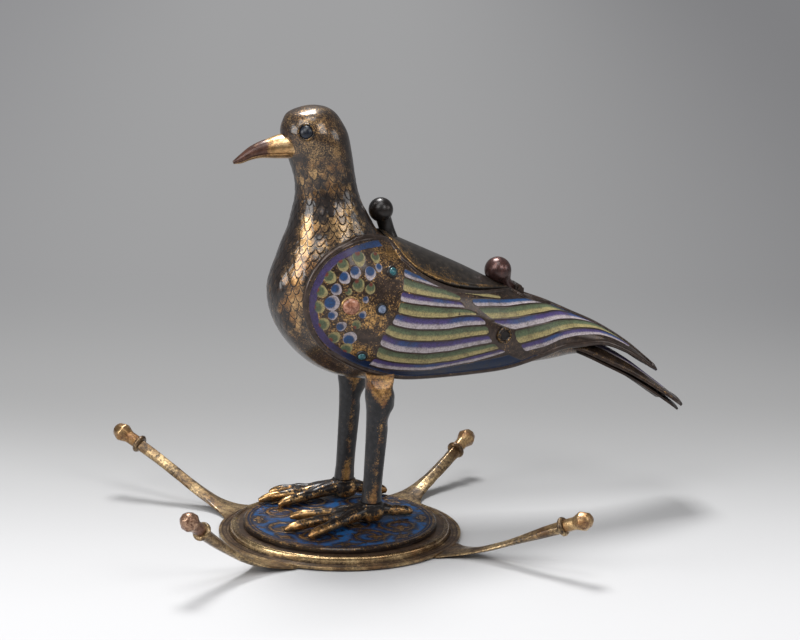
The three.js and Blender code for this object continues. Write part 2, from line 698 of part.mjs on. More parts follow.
function stone(side, { station, turn, radius, height }) {
  const { at, outward } = spot(outerForm, station, side * turn, FIT + 0.25);
  return aimed(dome(radius, height, 0), at, outward);
}

function emptySetting(side) {
  const { at, outward } = spot(outerForm, EMPTY_SETTING.station, side * EMPTY_SETTING.turn, FIT + 0.25);
  return aimed(ringBand(EMPTY_SETTING.radius, EMPTY_SETTING.radius + 0.9, 0, 1), at, outward);
}

// Tail

// Cuts across the arched tail plate: x, height of its middle, half-width, drop to its edges.
const TAIL_CUTS = [
  [108, 80.3, 10.8, 4.4],
  [116, 77.6, 11.8, 4.8],
  [126, 73, 13, 5],
  [138, 65.6, 13.8, 3.9],
  [150, 56.4, 14.4, 2.5],
  [161.8, 47, 14.8, 1.5],
];
const TAIL_PLATE = 1.4;
const TAIL_BACKING = 0.9;
const TAIL_SPREAD = 1.2;            // extra gap between plate and backing at the tail's end

function tailLayer(top, bottom, spread, shorter) {
  const shares = [-1, -0.8, -0.45, 0, 0.45, 0.8, 1];
  const line = new THREE.CatmullRomCurve3(TAIL_CUTS.map(([x, z, half]) => vector(x, half, z)));
  const drops = new THREE.CatmullRomCurve3(TAIL_CUTS.map(([x, , , drop]) => vector(x, drop, 0)));
  const steps = 10;
  const rings = Array.from({ length: steps + 1 }, (_, i) => {
    const share = i / steps;
    const middle = line.getPoint(share);
    const along = line.getTangent(share);
    const normal = vector(-along.z, 0, along.x).normalize();
    const drop = drops.getPoint(share).y;
    const half = middle.y - shorter - 2.5 * between(0.9, 1, share) ** 2;
    const face = (depth) => shares.map((s) => {
      const sink = drop * Math.abs(s) ** 2.2 + depth + spread * share;
      return vector(middle.x - normal.x * sink, BIRD_Y + s * half, middle.z - normal.z * sink);
    });
    return [...face(top), ...face(bottom).reverse()];
  });
  return loft(rings);
}

const TAIL_RIVET_X = 114;

function tailRivet(side) {
  const y = BIRD_Y + side * 4.2;
  const top = vector(TAIL_RIVET_X, y, 78.7);
  const direction = vector(0.36, -side * 0.1, 0.93);
  return aimed(dome(RIVET_RADIUS + 0.5, 0.8, 0, 10), top, direction);
}

function tailPlate() {
  return largest(clearOfBody(tailLayer(0, TAIL_PLATE, 0, 0)));
}

function tailBacking() {
  return largest(clearOfBody(tailLayer(TAIL_PLATE + FIT, TAIL_PLATE + FIT + TAIL_BACKING, TAIL_SPREAD, 0.8)));
}

// Lid

function backLid() {
  const sheet = outerSolid(0).subtract(outerSolid(-PLATE)).intersect(lidPrism(0, CUP_FLOOR + 14, ABOVE_BACK));
  const half = LID_KNUCKLE_WIDTH / 2;
  const { x, z, barrelRadius, bore } = HINGE;
  const tongue = block(vector(x - 4, BIRD_Y - half, z - 0.9), vector(x, BIRD_Y + half, z + 0.2));
  const knuckle = rod(barrelRadius, vector(x, BIRD_Y - half, z), vector(x, BIRD_Y + half, z), 14);
  const hole = rod(bore, vector(x, BIRD_Y - 10, z), vector(x, BIRD_Y + 10, z), 14);
  return sheet.add(tongue).add(knuckle).subtract(hole);
}

// A leaf on the body's back that carries the pin between two knuckles.
function hingeLeaf() {
  const { x, z, barrelRadius, bore } = HINGE;
  const inner = LID_KNUCKLE_WIDTH / 2 + FIT;
  const outer = HINGE_WIDTH / 2;
  const plate = block(vector(x, BIRD_Y - outer, z - 6), vector(x + 8, BIRD_Y + outer, z + 0.6));
  let leaf = outerSolid(-PLATE + 1).intersect(plate);
  for (const side of [-1, 1]) {
    const near = vector(x, BIRD_Y + side * inner, z);
    const far = vector(x, BIRD_Y + side * outer, z);
    const cheekLow = vector(x, Math.min(near.y, far.y), z - 3);
    const cheekHigh = vector(x + 2.4, Math.max(near.y, far.y), z);
    leaf = leaf.add(rod(barrelRadius, near, far, 14)).add(block(cheekLow, cheekHigh));
  }
  const lidRoom = rod(
    barrelRadius + FIT,
    vector(x, BIRD_Y - inner, z),
    vector(x, BIRD_Y + inner, z),
    14,
  );
  const hole = rod(bore, vector(x, BIRD_Y - 10, z), vector(x, BIRD_Y + 10, z), 14);
  return largest(clearOfBody(leaf.subtract(lidRoom).subtract(hole)));
}

function hingePin() {
  const { x, z, pinRadius } = HINGE;
  const half = HINGE_WIDTH / 2 + 0.5;
  return rod(pinRadius, vector(x, BIRD_Y - half, z), vector(x, BIRD_Y + half, z), 14);
}

// A knob of the lid: a round head on a leaning stem.
function lidKnob(root, centre, radius, stemRadius, waist) {
  const along = centre.clone().sub(root).normalize();
  const length = centre.distanceTo(root);
  const profile = [[0, -2.5], [stemRadius * 1.15, -2.5], [stemRadius, 0], [waist, length - radius * 0.95]];
  const rows = 6;
  const startAngle = Math.asin(Math.min(waist / radius, 1));
  for (let i = 0; i <= rows; i += 1) {
    const angle = mix(Math.PI - startAngle, 0, i / rows);
    profile.push([radius * Math.sin(angle), length + radius * Math.cos(angle)]);
  }
  profile[profile.length - 1][0] = 0;
  const shape = solid(aimed(turned(profile, 14), root, along));
  return largest(shape.subtract(outerSolid(FIT)));
}

// Assembly

add('base_dish', baseDish(), OLD_BRASS);
add('enamel_disk', enamelDisk(), BLUE_ENAMEL);
for (const each of ARMS) {
  const frame = armFrame(each);
  add(`arm_${each.name}`, arm(frame), OLD_BRASS);
  add(`arm_collar_${each.name}`, armCollar(frame), OLD_BRASS);
  add(`arm_knob_${each.name}`, armKnob(frame), DARK_BRONZE);
}
add('foot_left', foot(LEG_LEFT_Y, LEFT_TOES), GILT);
add('foot_right', foot(LEG_RIGHT_Y, RIGHT_TOES), GILT);
add('leg_left', leg(LEG_LEFT_Y), DARK_COPPER);
add('leg_right', leg(LEG_RIGHT_Y), DARK_COPPER);
add('host_cup', hostCup(), GILT);
add('beak', beak(), GILT);
add('tail_plate', tailPlate(), WING_ENAMEL);
add('tail_backing', tailBacking(), DARK_COPPER);
for (const [label, side] of [['left', 1], ['right', -1]]) {
  add(`body_shell_${label}`, bodyShell(-side), DARK_COPPER);
  add(`wing_${label}`, wing(side), WING_ENAMEL);
  add(`eye_${label}`, eye(side), GLASS_BLUE);
  add(`eye_bezel_${label}`, eyeBezel(side), GILT);
  for (const each of STONES) add(`stone_${each.name}_${label}`, stone(side, each), each.look);
  add(`empty_setting_${label}`, emptySetting(side), GILT);
  add(`tail_rivet_${label}`, tailRivet(-side), GILT);
}
add('back_lid', backLid(), DARK_BRONZE);
add('hinge_leaf', hingeLeaf(), OLD_BRASS);
add('hinge_pin', hingePin(), OLD_BRASS);
add('lid_front_knob', lidKnob(vector(24.9, BIRD_Y, 129.3), vector(20.5, BIRD_Y, 139), 5.3, 3.4, 2.7), DARK_BRONZE);
add('lid_rear_knob', lidKnob(vector(78.6, BIRD_Y, 103.8), vector(75, BIRD_Y, 109.5), 5.6, 2.6, 2.6), RED_COPPER);

const dove = new THREE.Group();
for (const { name, geometry, look } of pieces) {
  const mesh = new THREE.Mesh(geometry, new THREE.MeshStandardMaterial(look));
  mesh.name = name;
  dove.add(mesh);
}

export default dove;
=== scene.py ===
"""Looks of an enamelled eucharistic dove on a round dish with four raised arms.

Sizes are in millimetres, in the frame's own axes, and turn into metres when a piece is made.
The dove faces -X and its left side faces -Y.
"""
import math

import bpy
import numpy as np
from mathutils import Matrix, Vector, kdtree


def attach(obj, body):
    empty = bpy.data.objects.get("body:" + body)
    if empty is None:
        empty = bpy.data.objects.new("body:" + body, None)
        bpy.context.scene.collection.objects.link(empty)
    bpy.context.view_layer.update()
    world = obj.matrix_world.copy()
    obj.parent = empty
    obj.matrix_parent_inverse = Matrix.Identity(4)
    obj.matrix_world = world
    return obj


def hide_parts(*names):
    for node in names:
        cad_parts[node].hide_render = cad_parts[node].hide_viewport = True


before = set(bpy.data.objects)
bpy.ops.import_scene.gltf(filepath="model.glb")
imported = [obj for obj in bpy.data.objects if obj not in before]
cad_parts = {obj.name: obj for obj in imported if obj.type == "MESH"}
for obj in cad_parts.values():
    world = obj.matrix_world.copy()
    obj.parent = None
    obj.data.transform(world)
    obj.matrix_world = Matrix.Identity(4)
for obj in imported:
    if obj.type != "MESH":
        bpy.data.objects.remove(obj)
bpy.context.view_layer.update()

MM = 0.001

# Sizes shared with the solids

FIT = 0.3
DISH_RADIUS = 52.2
DISH_EDGE = 1.9
DISH_RING_RADIUS = 46.2
DISH_RING_HEIGHT = 4.7
DISH_STEP_RADIUS = 47.4
DISH_LEDGE = 4.3
DISH_WELL_RADIUS = 38
DISH_FLOOR = 1.6
DISK_RADIUS = 41.6
DISK_TOP = 6.6

ARM_ROOT_WIDTH = 22
ARM_FLARE_LENGTH = 9
ARM_BAR_WIDTH = 6
ARM_BAR_HEIGHT = 5.2
COLLAR_RADIUS = 4.1
COLLAR_THICKNESS = 2.2
KNOB_RADIUS = 4.4
KNOB_NECK_RADIUS = 2.9
KNOB_REACH = 9.6
# name: root direction, heading, reach, knob height, rise and thickness at the middle
ARMS = {
    "front_left": (220, 215, 101.8, 30.6, 37.6, 3.2),
    "front_right": (131, 131, 113, 27.5, 23.7, 4.6),
    "rear_left": (-47, -48, 114.4, 24.6, 23.4, 2.6),
    "rear_right": (40, 38, 104.9, 18, 21.4, 4),
}

BIRD_Y = 12
PLATE = 1.5
SHELL = 1.3
PLATE_GAP = 0.45
RIM_RISE = 0.9
RIM_WIDTH = 2.6
LID_SLIT = 0.9
LID_LAP = 2.2
HINGE_X = 83.4
HINGE_Z = 101.7
HINGE_BARREL = 1.7
LID_KNUCKLE = 2.6

LEG_Y = {"left": -6.2, "right": 30.2}
FOOT_X = 11.8
FOOT_TOP = 15.1
TOE_Z = DISK_TOP + FIT
# height, place along the bird, half-width along the bird, half-width across
LEG_STOPS = [
    (15.4, 11.8, 4.4, 4.4), (22.4, 12.3, 4.1, 4.1), (38, 13.4, 4.4, 4.3), (52, 14.3, 4.9, 4.8),
    (57, 14.8, 5.5, 5.2), (62, 15.3, 6.6, 5.8), (67, 15, 6.2, 6.1), (74, 14.8, 6.5, 6.5),
    (84, 14.6, 7, 7),
]
TOES = {
    "left": [(-21.6, 3.4), (-29.2, -12.9), (-22.1, -24.6), (31.3, -4.6)],
    "right": [(-21.1, 21.5), (-27.4, 30.4), (-19.4, 40.8), (31, 27.5)],
}

EYE_RADIUS = 2.8
EYE_STATION = 3.62
EYE_TURN = 119
EYE_BULGE = 1.7
EYE_SEAT = 1.5
BEZEL_WIDTH = 0.7

# Cuts across the bird: back x and z, breast x and z, half-width
HEAD_AND_BODY = [
    (-9.8, 185.4, -9.9, 185.4, 0), (-4.6, 184.3, -15.2, 184.5, 5.2), (-1, 182.1, -20.9, 182.3, 9.3),
    (1.8, 178.4, -23.1, 179.2, 11.8), (4.6, 173, -24.2, 174, 13.6), (6.4, 165, -22.2, 167, 13.6),
    (8.4, 153.5, -18.5, 156.3, 12.8), (10.1, 146.4, -17.5, 149.3, 13.4),
    (12.6, 140.7, -18.1, 142.8, 15.4), (17, 134.4, -21.2, 133.2, 19),
    (20.7, 131, -25.6, 124.4, 22.5), (24.8, 128.5, -28.8, 112, 25.5),
    (29.4, 126.6, -28.4, 99, 27.5), (34.5, 124.3, -23.2, 87, 28.5), (40.2, 121.7, -12.5, 75.3, 29),
    (46.3, 118.9, 1.8, 67, 28.5), (53, 115.8, 17, 63.7, 27.3), (60.2, 112.3, 34.6, 62.9, 25.5),
    (77.7, 103.3, 68.5, 63.7, 20.5), (91, 97.1, 87, 65.4, 17), (100.4, 92.9, 99, 66.4, 15.2),
]
FOLDED_WINGS = [
    (110.8, 88, 109.8, 67.8, 13.5), (123.2, 82, 122.2, 68.8, 11.5), (136.7, 73.3, 135.7, 64.5, 9.5),
    (150.4, 61.9, 149.7, 57.2, 7.5),
]
BODY_TONGUE = [
    (107.2, 84.7, 107.2, 67.6, 12.2), (112.9, 75.8, 112.9, 68.3, 9.5), (119, 72.6, 119, 69.4, 7),
]
LID_HALF_OUTLINE = [
    (20.9, 0), (21.7, 8), (23.9, 15.2), (27.8, 18.7), (33, 20), (41, 19.8),
    (49.5, 18.6), (58.5, 16.1), (67.5, 12), (75, 7.2), (79.8, 2.6), (80.8, 0),
]
BEAK_CUTS = [
    (-15.6, 174.8, -13.6, 162.2, 6.8), (-24.4, 173.4, -20.3, 163, 6.4), (-29, 172.1, -26.8, 163.3, 5),
    (-33.5, 170.8, -33, 163.7, 3.8), (-38, 168.7, -37.8, 163, 2.8), (-42, 165.7, -41.6, 161.8, 1.9),
    (-45.3, 163, -44.9, 161.7, 0.6),
]
# Ribs across a wing: station and turn of the upper edge, then of the lower edge
WING_RIBS = [
    (9.3, 66, 9.3, 76), (9.45, 50, 9.75, 101), (9.8, 36, 10.4, 119), (10.5, 28, 11.4, 132),
    (11.4, 26, 12.5, 138), (12.5, 26, 13.5, 141), (13.5, 26, 14.4, 139), (14.5, 26, 15.3, 139),
    (15.5, 24, 16.2, 143), (16.5, 20, 17, 145), (17.4, 15, 17.7, 144), (18.1, 15, 18.3, 140),
    (18.6, 20, 18.8, 132), (19.2, 14, 19.4, 121), (20, 4, 20.2, 107), (21, 3, 21, 103),
    (22, 3, 22, 94), (23, 4, 23, 90), (23.7, 8, 23.7, 86), (24, 24, 24, 62),
]
RIGHT_WING_REACH = 9
# name: station, turn, radius, height, material slot
STONES = {
    "amber": (12.7, 101, 4, 1.9, "amber_glass"),
    "upper": (12.5, 60, 2.3, 1.2, "turquoise_glass"),
    "middle": (13.56, 87, 2.3, 1.4, "pale_blue_glass"),
    "lower": (14.47, 124, 2.2, 1.2, "turquoise_glass"),
}
EMPTY_SETTING = (17.86, 85.8, 2.4)
STONE_SEAT = FIT + 0.25
# Cuts across the tail: x, height of its middle, half-width, drop to its edges
TAIL_CUTS = [
    (108, 80.3, 10.8, 4.4), (116, 77.6, 11.8, 4.8), (126, 73, 13, 5), (138, 65.6, 13.8, 3.9),
    (150, 56.4, 14.4, 2.5), (161.8, 47, 14.8, 1.5),
]
TAIL_PLATE = 1.4
TAIL_BACKING = 0.9
TAIL_SPREAD = 1.2


# Numbers


def smooth(low, high, value):
    share = np.clip((np.asarray(value, float) - low) / (high - low), 0, 1)
    return share * share * (3 - 2 * share)


def mix(a, b, share):
    return a + (b - a) * share


def unit(v):
    return v / np.maximum(np.linalg.norm(v, axis=-1, keepdims=True), 1e-9)


def spline(rows, at):
    """A smooth curve through rows of numbers; `at` counts the rows."""
    rows = np.asarray(rows, float)
    at = np.clip(np.asarray(at, float), 0, len(rows) - 1)
    low = np.minimum(np.floor(at).astype(int), len(rows) - 2)
    w = (at - low)[..., None]
    p1, p2 = rows[low], rows[low + 1]
    p0 = np.where((low > 0)[..., None], rows[np.maximum(low - 1, 0)], 2 * rows[0] - rows[1])
    is_last = (low == len(rows) - 2)[..., None]
    p3 = np.where(is_last, 2 * rows[-1] - rows[-2], rows[np.minimum(low + 2, len(rows) - 1)])
    v1, v2 = (p2 - p0) / 2, (p3 - p1) / 2
    return (2 * p1 - 2 * p2 + v1 + v2) * w**3 + (3 * p2 - 3 * p1 - 2 * v1 - v2) * w**2 + v1 * w + p1


def on_form(cuts, station, turn, lift=0.0):
    """The point of a form at a station, turned in degrees from the back, lifted off its face."""
    station, turn, lift = np.broadcast_arrays(station, turn, lift)
    row = spline(cuts, station)
    back, breast, half_width = row[..., 0:2], row[..., 2:4], row[..., 4]
    middle, half = (back + breast) / 2, (back - breast) / 2
    length = np.linalg.norm(half, axis=-1)
    reach = np.maximum(length + lift, 0.05)[..., None] * half / np.maximum(length, 1e-6)[..., None]
    angle = np.radians(turn)
    plan = middle + reach * np.cos(angle)[..., None]
    y = BIRD_Y - np.maximum(half_width + lift, 0.05) * np.sin(angle)
    return np.stack([plan[..., 0], y, plan[..., 1]], -1)


OUTER = HEAD_AND_BODY + FOLDED_WINGS
BODY = HEAD_AND_BODY + BODY_TONGUE
BODY_END = len(BODY) - 1


def body_inset(station, turn):
    """How far the body's sheet lies inside the outer form, to leave room for the wing plates."""
    from_back = np.abs((np.asarray(turn) + 540) % 360 - 180)
    belly = smooth(150, 164, from_back) * smooth(10.3, 11.5, station) * (1 - smooth(14, 16, station))
    return (PLATE + PLATE_GAP) * smooth(8, 10.2, station) * (1 - belly)


def spot(cuts, station, turn, lift):
    """A place on a form and its outward direction."""
    at = on_form(cuts, station, turn, lift)
    along = on_form(cuts, station + 0.05, turn, lift) - on_form(cuts, station - 0.05, turn, lift)
    round_it = on_form(cuts, station, turn + 1, lift) - on_form(cuts, station, turn - 1, lift)
    outward = unit(np.cross(along, round_it))
    if outward @ (at - on_form(cuts, station, turn, lift - 5)) < 0:
        outward = -outward
    return at, outward


def lid_edge():
    """The lid's outline in plan, closed, about 0.8 mm a step."""
    half = spline(LID_HALF_OUTLINE, np.linspace(0, len(LID_HALF_OUTLINE) - 1, 100))
    mirrored = half[-2:0:-1] * (1, -1)
    return np.vstack([half, mirrored]) + (0, BIRD_Y)


LID_EDGE = lid_edge()


def outside_lid(points):
    """Distance in plan from the lid's outline, positive outside it."""
    flat = points.reshape(-1, points.shape[-1])[:, :2]
    a = LID_EDGE
    step = np.roll(a, -1, 0) - a
    found = np.empty(len(flat))
    for start in range(0, len(flat), 20000):
        part = flat[start:start + 20000, None, :] - a[None]
        share = np.clip((part * step).sum(-1) / (step * step).sum(-1), 0, 1)
        gap = np.linalg.norm(part - share[..., None] * step, axis=-1)
        found[start:start + 20000] = gap.min(1)
    crossings = np.zeros(len(flat), bool)
    for p, q in zip(a, np.roll(a, -1, 0)):
        spans = (p[1] > flat[:, 1]) != (q[1] > flat[:, 1])
        if spans.any():
            x = p[0] + (flat[:, 1] - p[1]) / (q[1] - p[1] + 1e-12) * (q[0] - p[0])
            crossings ^= spans & (flat[:, 0] < x)
    return np.where(crossings, -found, found).reshape(points.shape[:-1])


def distance_to(line, points):
    """Distance of each point from a dense row of points."""
    tree = kdtree.KDTree(len(line))
    for i, p in enumerate(line):
        tree.insert(Vector(p), i)
    tree.balance()
    flat = points.reshape(-1, 3)
    return np.array([tree.find(Vector(p))[2] for p in flat]).reshape(points.shape[:-1])


def edge_turn(cuts, stations, margin, lift_at):
    """For each station, how far round from the back the form leaves the lid's outline grown by
    `margin`; 0 where it never enters it."""
    turns = np.linspace(0, 75, 301)
    grid_station, grid_turn = np.meshgrid(stations, turns, indexing="ij")
    points = on_form(cuts, grid_station, grid_turn, lift_at(grid_station, grid_turn))
    gap = outside_lid(points) - margin
    found = np.zeros(len(stations))
    for i, row in enumerate(gap):
        inside = np.nonzero(row < 0)[0]
        if len(inside) and inside[-1] < len(turns) - 1:
            k = inside[-1]
            found[i] = mix(turns[k], turns[k + 1], row[k] / (row[k] - row[k + 1]))
    return found


# Meshes


def round_angles(count):
    return np.linspace(0, 2 * np.pi, count, endpoint=False)


def strip_faces(rows, cols, wrap):
    i, j = np.meshgrid(np.arange(rows - 1), np.arange(cols if wrap else cols - 1), indexing="ij")
    k = (j + 1) % cols
    quads = [i * cols + j, i * cols + k, (i + 1) * cols + k, (i + 1) * cols + j]
    return np.stack(quads, -1).reshape(-1, 4)


def facing_out(points, quads, triangles=()):
    """Turns the faces of a closed mesh outwards."""
    quads = np.asarray(quads, int).reshape(-1, 4)
    triangles = np.asarray(triangles, int).reshape(-1, 3)
    both = np.vstack([quads[:, [0, 1, 2]], quads[:, [0, 2, 3]], triangles])
    a, b, c = (points[both[:, n]] for n in range(3))
    if (a * np.cross(b, c)).sum() < 0:
        quads, triangles = quads[:, ::-1], triangles[:, ::-1]
    return points, quads.tolist() + triangles.tolist()


def loft(rings, ends=None):
    """A closed solid through rings of equally many points, with a fan over each end."""
    rows, cols = rings.shape[:2]
    first, last = ends if ends is not None else (rings[0].mean(0), rings[-1].mean(0))
    points = np.vstack([rings.reshape(-1, 3), first, last])
    j = np.arange(cols)
    k = (j + 1) % cols
    low = np.stack([np.full(cols, rows * cols), k, j], 1)
    high = np.stack([np.full(cols, rows * cols + 1), (rows - 1) * cols + j, (rows - 1) * cols + k], 1)
    return facing_out(points, strip_faces(rows, cols, True), np.vstack([low, high]))


def slab(top, bottom):
    """A closed solid between two sheets of equally many points."""
    rows, cols = top.shape[:2]
    count = rows * cols
    points = np.vstack([top.reshape(-1, 3), bottom.reshape(-1, 3)])
    sheet = strip_faces(rows, cols, False)
    index = np.arange(count).reshape(rows, cols)
    rim = np.concatenate([index[0], index[1:, -1], index[-1, -2::-1], index[-2:0:-1, 0]])
    beside = np.roll(rim, -1)
    walls = np.stack([beside, rim, rim + count, beside + count], 1)
    return facing_out(points, np.vstack([sheet, sheet[:, ::-1] + count, walls]))


def lathe(profile, sides):
    """A turned solid whose profile runs from axis to axis, or closes on itself."""
    profile = np.asarray(profile, float)
    angle = np.arange(sides) * 2 * np.pi / sides
    circle = np.stack([np.cos(angle), np.sin(angle), 0 * angle], -1)
    rings = profile[:, None, :1] * circle + profile[:, None, 1:] * np.array([0, 0, 1.0])
    if np.allclose(profile[0], profile[-1]):
        rows = len(rings) - 1
        quads = strip_faces(rows + 1, sides, True) % (rows * sides)
        return facing_out(rings[:-1].reshape(-1, 3), quads)
    return loft(rings[1:-1], (rings[0, 0], rings[-1, 0]))


def bulge(radius, height, steps):
    """The profile of a rounded head, from its rim to the axis."""
    angle = np.linspace(0, np.pi / 2, steps)[:-1]
    return [(radius * math.cos(a), height * math.sin(a)) for a in angle] + [(0, height)]


def eased(points, cut, steps=4, closed=False):
    """The same outline with its corners rounded over `cut` on both sides."""
    points = np.asarray(points, float)
    made = [] if closed else [points[0]]
    count = len(points)
    for i in range(count) if closed else range(1, count - 1):
        p, a, b = points[i], points[i - 1], points[(i + 1) % count]
        start = p + (a - p) * min(cut / max(np.linalg.norm(a - p), 1e-9), 0.48)
        end = p + (b - p) * min(cut / max(np.linalg.norm(b - p), 1e-9), 0.48)
        for t in np.linspace(0, 1, steps + 1):
            made.append(start * (1 - t) ** 2 + 2 * p * t * (1 - t) + end * t * t)
    if not closed:
        made.append(points[-1])
    return np.array(made)


def aimed(shape, place, direction):
    """A shape whose +Z is turned to `direction` and whose origin is put at `place`."""
    points, faces = shape
    turn = Vector((0, 0, 1)).rotation_difference(Vector(direction)).to_matrix()
    return points @ np.array(turn).T + np.asarray(place), faces


def together(*shapes):
    points, faces, count = [], [], 0
    for some_points, some_faces in shapes:
        points.append(some_points)
        faces += [[count + i for i in face] for face in some_faces]
        count += len(some_points)
    return np.vstack(points), faces


def followed_by(values, filler, count):
    """Marks of the first points of a mesh, and one value for the points after them."""
    return np.concatenate([values, np.full((count,) + values.shape[1:], filler)])


def piece(name, shape, look, nodes=(), body="dove", marks=None, crease=40):
    """One piece of the object: its mesh, marks for its material, body and material slot."""
    points, faces = shape
    mesh = bpy.data.meshes.new(name)
    mesh.from_pydata((np.asarray(points) * MM).tolist(), [], faces)
    for mark, values in (marks or {}).items():
        values = np.asarray(followed_by(values, 0, len(points) - len(values)), np.float32)
        kind, field = ("FLOAT_COLOR", "color") if values.ndim == 2 else ("FLOAT", "value")
        mesh.attributes.new(mark, kind, "POINT").data.foreach_set(field, values.ravel())
    mesh.update()
    mesh.shade_smooth()
    mesh.set_sharp_from_angle(angle=math.radians(crease))
    made = bpy.data.objects.new(name, mesh)
    bpy.context.scene.collection.objects.link(made)
    mesh.materials.append(look)
    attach(made, body)
    if nodes:
        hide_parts(*nodes)
    return made


def settle(made, crease=40):
    """Applies the modifiers of a piece."""
    graph = bpy.context.evaluated_depsgraph_get()
    mesh = bpy.data.meshes.new_from_object(made.evaluated_get(graph))
    made.modifiers.clear()
    made.data = mesh
    mesh.shade_smooth()
    mesh.set_sharp_from_angle(angle=math.radians(crease))


def soften_edges(made, width, segments=2):
    bevel = made.modifiers.new("edges", "BEVEL")
    bevel.width = width * MM
    bevel.segments = segments
    bevel.limit_method = "ANGLE"
    settle(made, crease=50)


def melt(made, voxel, smoothing=6):
    """Joins the overlapping solids of a piece into one soft skin."""
    remesh = made.modifiers.new("melt", "REMESH")
    remesh.mode = "VOXEL"
    remesh.voxel_size = voxel * MM
    relax = made.modifiers.new("relax", "SMOOTH")
    relax.factor = 0.5
    relax.iterations = smoothing
    settle(made, crease=180)


# Materials


def linear(red, green, blue):
    """An sRGB colour of 0 to 255 as linear numbers."""
    def one(value):
        value /= 255
        return value / 12.92 if value <= 0.04045 else ((value + 0.055) / 1.055) ** 2.4
    return np.array([one(red), one(green), one(blue), 1.0])


class Look:
    """A material under construction."""

    def __init__(self, name):
        self.material = bpy.data.materials.new(name)
        self.material.use_nodes = True
        self.tree = self.material.node_tree
        self.shader = self.tree.nodes["Principled BSDF"]
        self.place = self.node("ShaderNodeTexCoord").outputs["Object"]

    def node(self, kind, inputs=None, **settings):
        made = self.tree.nodes.new(kind)
        for key, value in settings.items():
            setattr(made, key, value)
        for key, value in (inputs or {}).items():
            if isinstance(value, bpy.types.NodeSocket):
                self.tree.links.new(value, made.inputs[key])
            else:
                made.inputs[key].default_value = value
        return made

    def noise(self, size, detail=4.0, roughness=0.6, stretch=None, distortion=0.0):
        """Noise whose blotches are about `size` millimetres across, from 0 to 1."""
        place = self.place
        if stretch:
            place = self.node("ShaderNodeMapping", {0: place, 3: stretch}).outputs[0]
        inputs = {"Vector": place, "Scale": 1 / (size * MM), "Detail": detail,
                  "Roughness": roughness, "Distortion": distortion}
        return self.node("ShaderNodeTexNoise", inputs).outputs[0]

    def step(self, value, low, high, to_low=0.0, to_high=1.0):
        inputs = {0: value, 1: low, 2: high, 3: to_low, 4: to_high}
        made = self.node("ShaderNodeMapRange", inputs, interpolation_type="SMOOTHSTEP")
        return made.outputs[0]

    def math(self, operation, *values):
        inputs = dict(enumerate(values))
        return self.node("ShaderNodeMath", inputs, operation=operation).outputs[0]

    def plus(self, a, b):
        return self.math("ADD", a, b)

    def minus(self, a, b):
        return self.math("SUBTRACT", a, b)

    def times(self, a, b):
        return self.math("MULTIPLY", a, b)

    def shade(self, colour, value, saturation=1.0):
        inputs = {"Value": value, "Saturation": saturation, "Color": colour}
        return self.node("ShaderNodeHueSaturation", inputs).outputs[0]

    def mark(self, name):
        return self.node("ShaderNodeAttribute", attribute_name=name).outputs["Fac"]

    def mark_colour(self, name):
        return self.node("ShaderNodeAttribute", attribute_name=name).outputs["Color"]

    def blend(self, share, a, b):
        made = self.node("ShaderNodeMix", {0: share, 6: a, 7: b}, data_type="RGBA")
        return made.outputs[2]

    def between(self, share, a, b):
        made = self.node("ShaderNodeMix", {0: share, 2: a, 3: b}, data_type="FLOAT")
        return made.outputs[0]

    def use(self, **sockets):
        for key, value in sockets.items():
            socket = self.shader.inputs[key.replace("_", " ")]
            if isinstance(value, bpy.types.NodeSocket):
                self.tree.links.new(value, socket)
            else:
                socket.default_value = value

    def bump(self, height, strength, distance=0.1):
        inputs = {"Strength": strength, "Distance": distance * MM, "Height": height}
        made = self.node("ShaderNodeBump", inputs)
        self.tree.links.new(made.outputs[0], self.shader.inputs["Normal"])


GILT = linear(206, 160, 98)
PALE_GILT = linear(222, 182, 126)
OLD_GILT = linear(150, 114, 66)
BROWN = linear(54, 43, 37)
DARK_BROWN = linear(36, 30, 28)
BLACK_BROWN = linear(18, 15, 15)
RED_BROWN = linear(98, 54, 38)
PALE_BRASS = linear(216, 186, 136)
BRASS_SHADE = linear(66, 50, 38)


def worn_metal(name, bright, dull, dark, amount=0.0, patch=6.0, grain=0.8, shine=(0.3, 0.42),
               soft=0.07, scales=None, varnish=0.25, blur=0.2, broad_share=0.45):
    """Metal whose bright skin is worn off in patches and specks down to a dark patina.
    The piece's own gilt mark is added to the amount; `scales` draws the engraved feathers."""
    look = Look(name)
    broad = look.noise(patch, detail=6, roughness=0.7)
    fine = look.noise(grain, detail=5, roughness=0.75)
    amount = look.plus(look.mark("gilt"), amount)
    if scales is not None:
        broad_share = look.step(look.mark("fade"), 0, 1, 0.3, 0.6)
        line, own = scale_lines(look, scales)
        amount = look.plus(amount, look.times(own, look.mark("fade")))
    value = look.between(broad_share, fine, broad)
    value = look.minus(value, coverage(look, amount))
    share = look.step(value, -soft, soft)
    pits = look.step(look.noise(grain * 0.6, detail=3), 0.55, 0.66, 1.0, 0.35)
    share = look.times(share, pits)
    tone = look.blend(look.step(look.noise(patch * 1.7, detail=3), 0.35, 0.65), bright, dull)
    shaded = look.shade(tone, 0.6)
    tone = look.blend(look.step(look.noise(grain * 2.2, detail=4), 0.36, 0.6), shaded, tone)
    colour = look.blend(share, patina(look, dark, patch * 0.5), tone)
    height = look.plus(look.times(fine, 0.5), look.times(share, 0.35))
    if scales is not None:
        colour = look.blend(line, colour, BLACK_BROWN)
        height = look.minus(height, line)
    look.use(Base_Color=colour, Metallic=look.between(share, 0.25, 1.0))
    look.use(Roughness=look.between(share, shine[1], shine[0]))
    look.use(Specular_IOR_Level=0.2, Coat_Weight=varnish, Coat_Roughness=blur)
    look.bump(height, 0.35, 0.12)
    return look.material


def patina(look, colour, size):
    """The dark metal under the gilding, in two tones."""
    return look.blend(look.step(look.noise(size, detail=5), 0.38, 0.62), look.shade(colour, 0.55), colour)


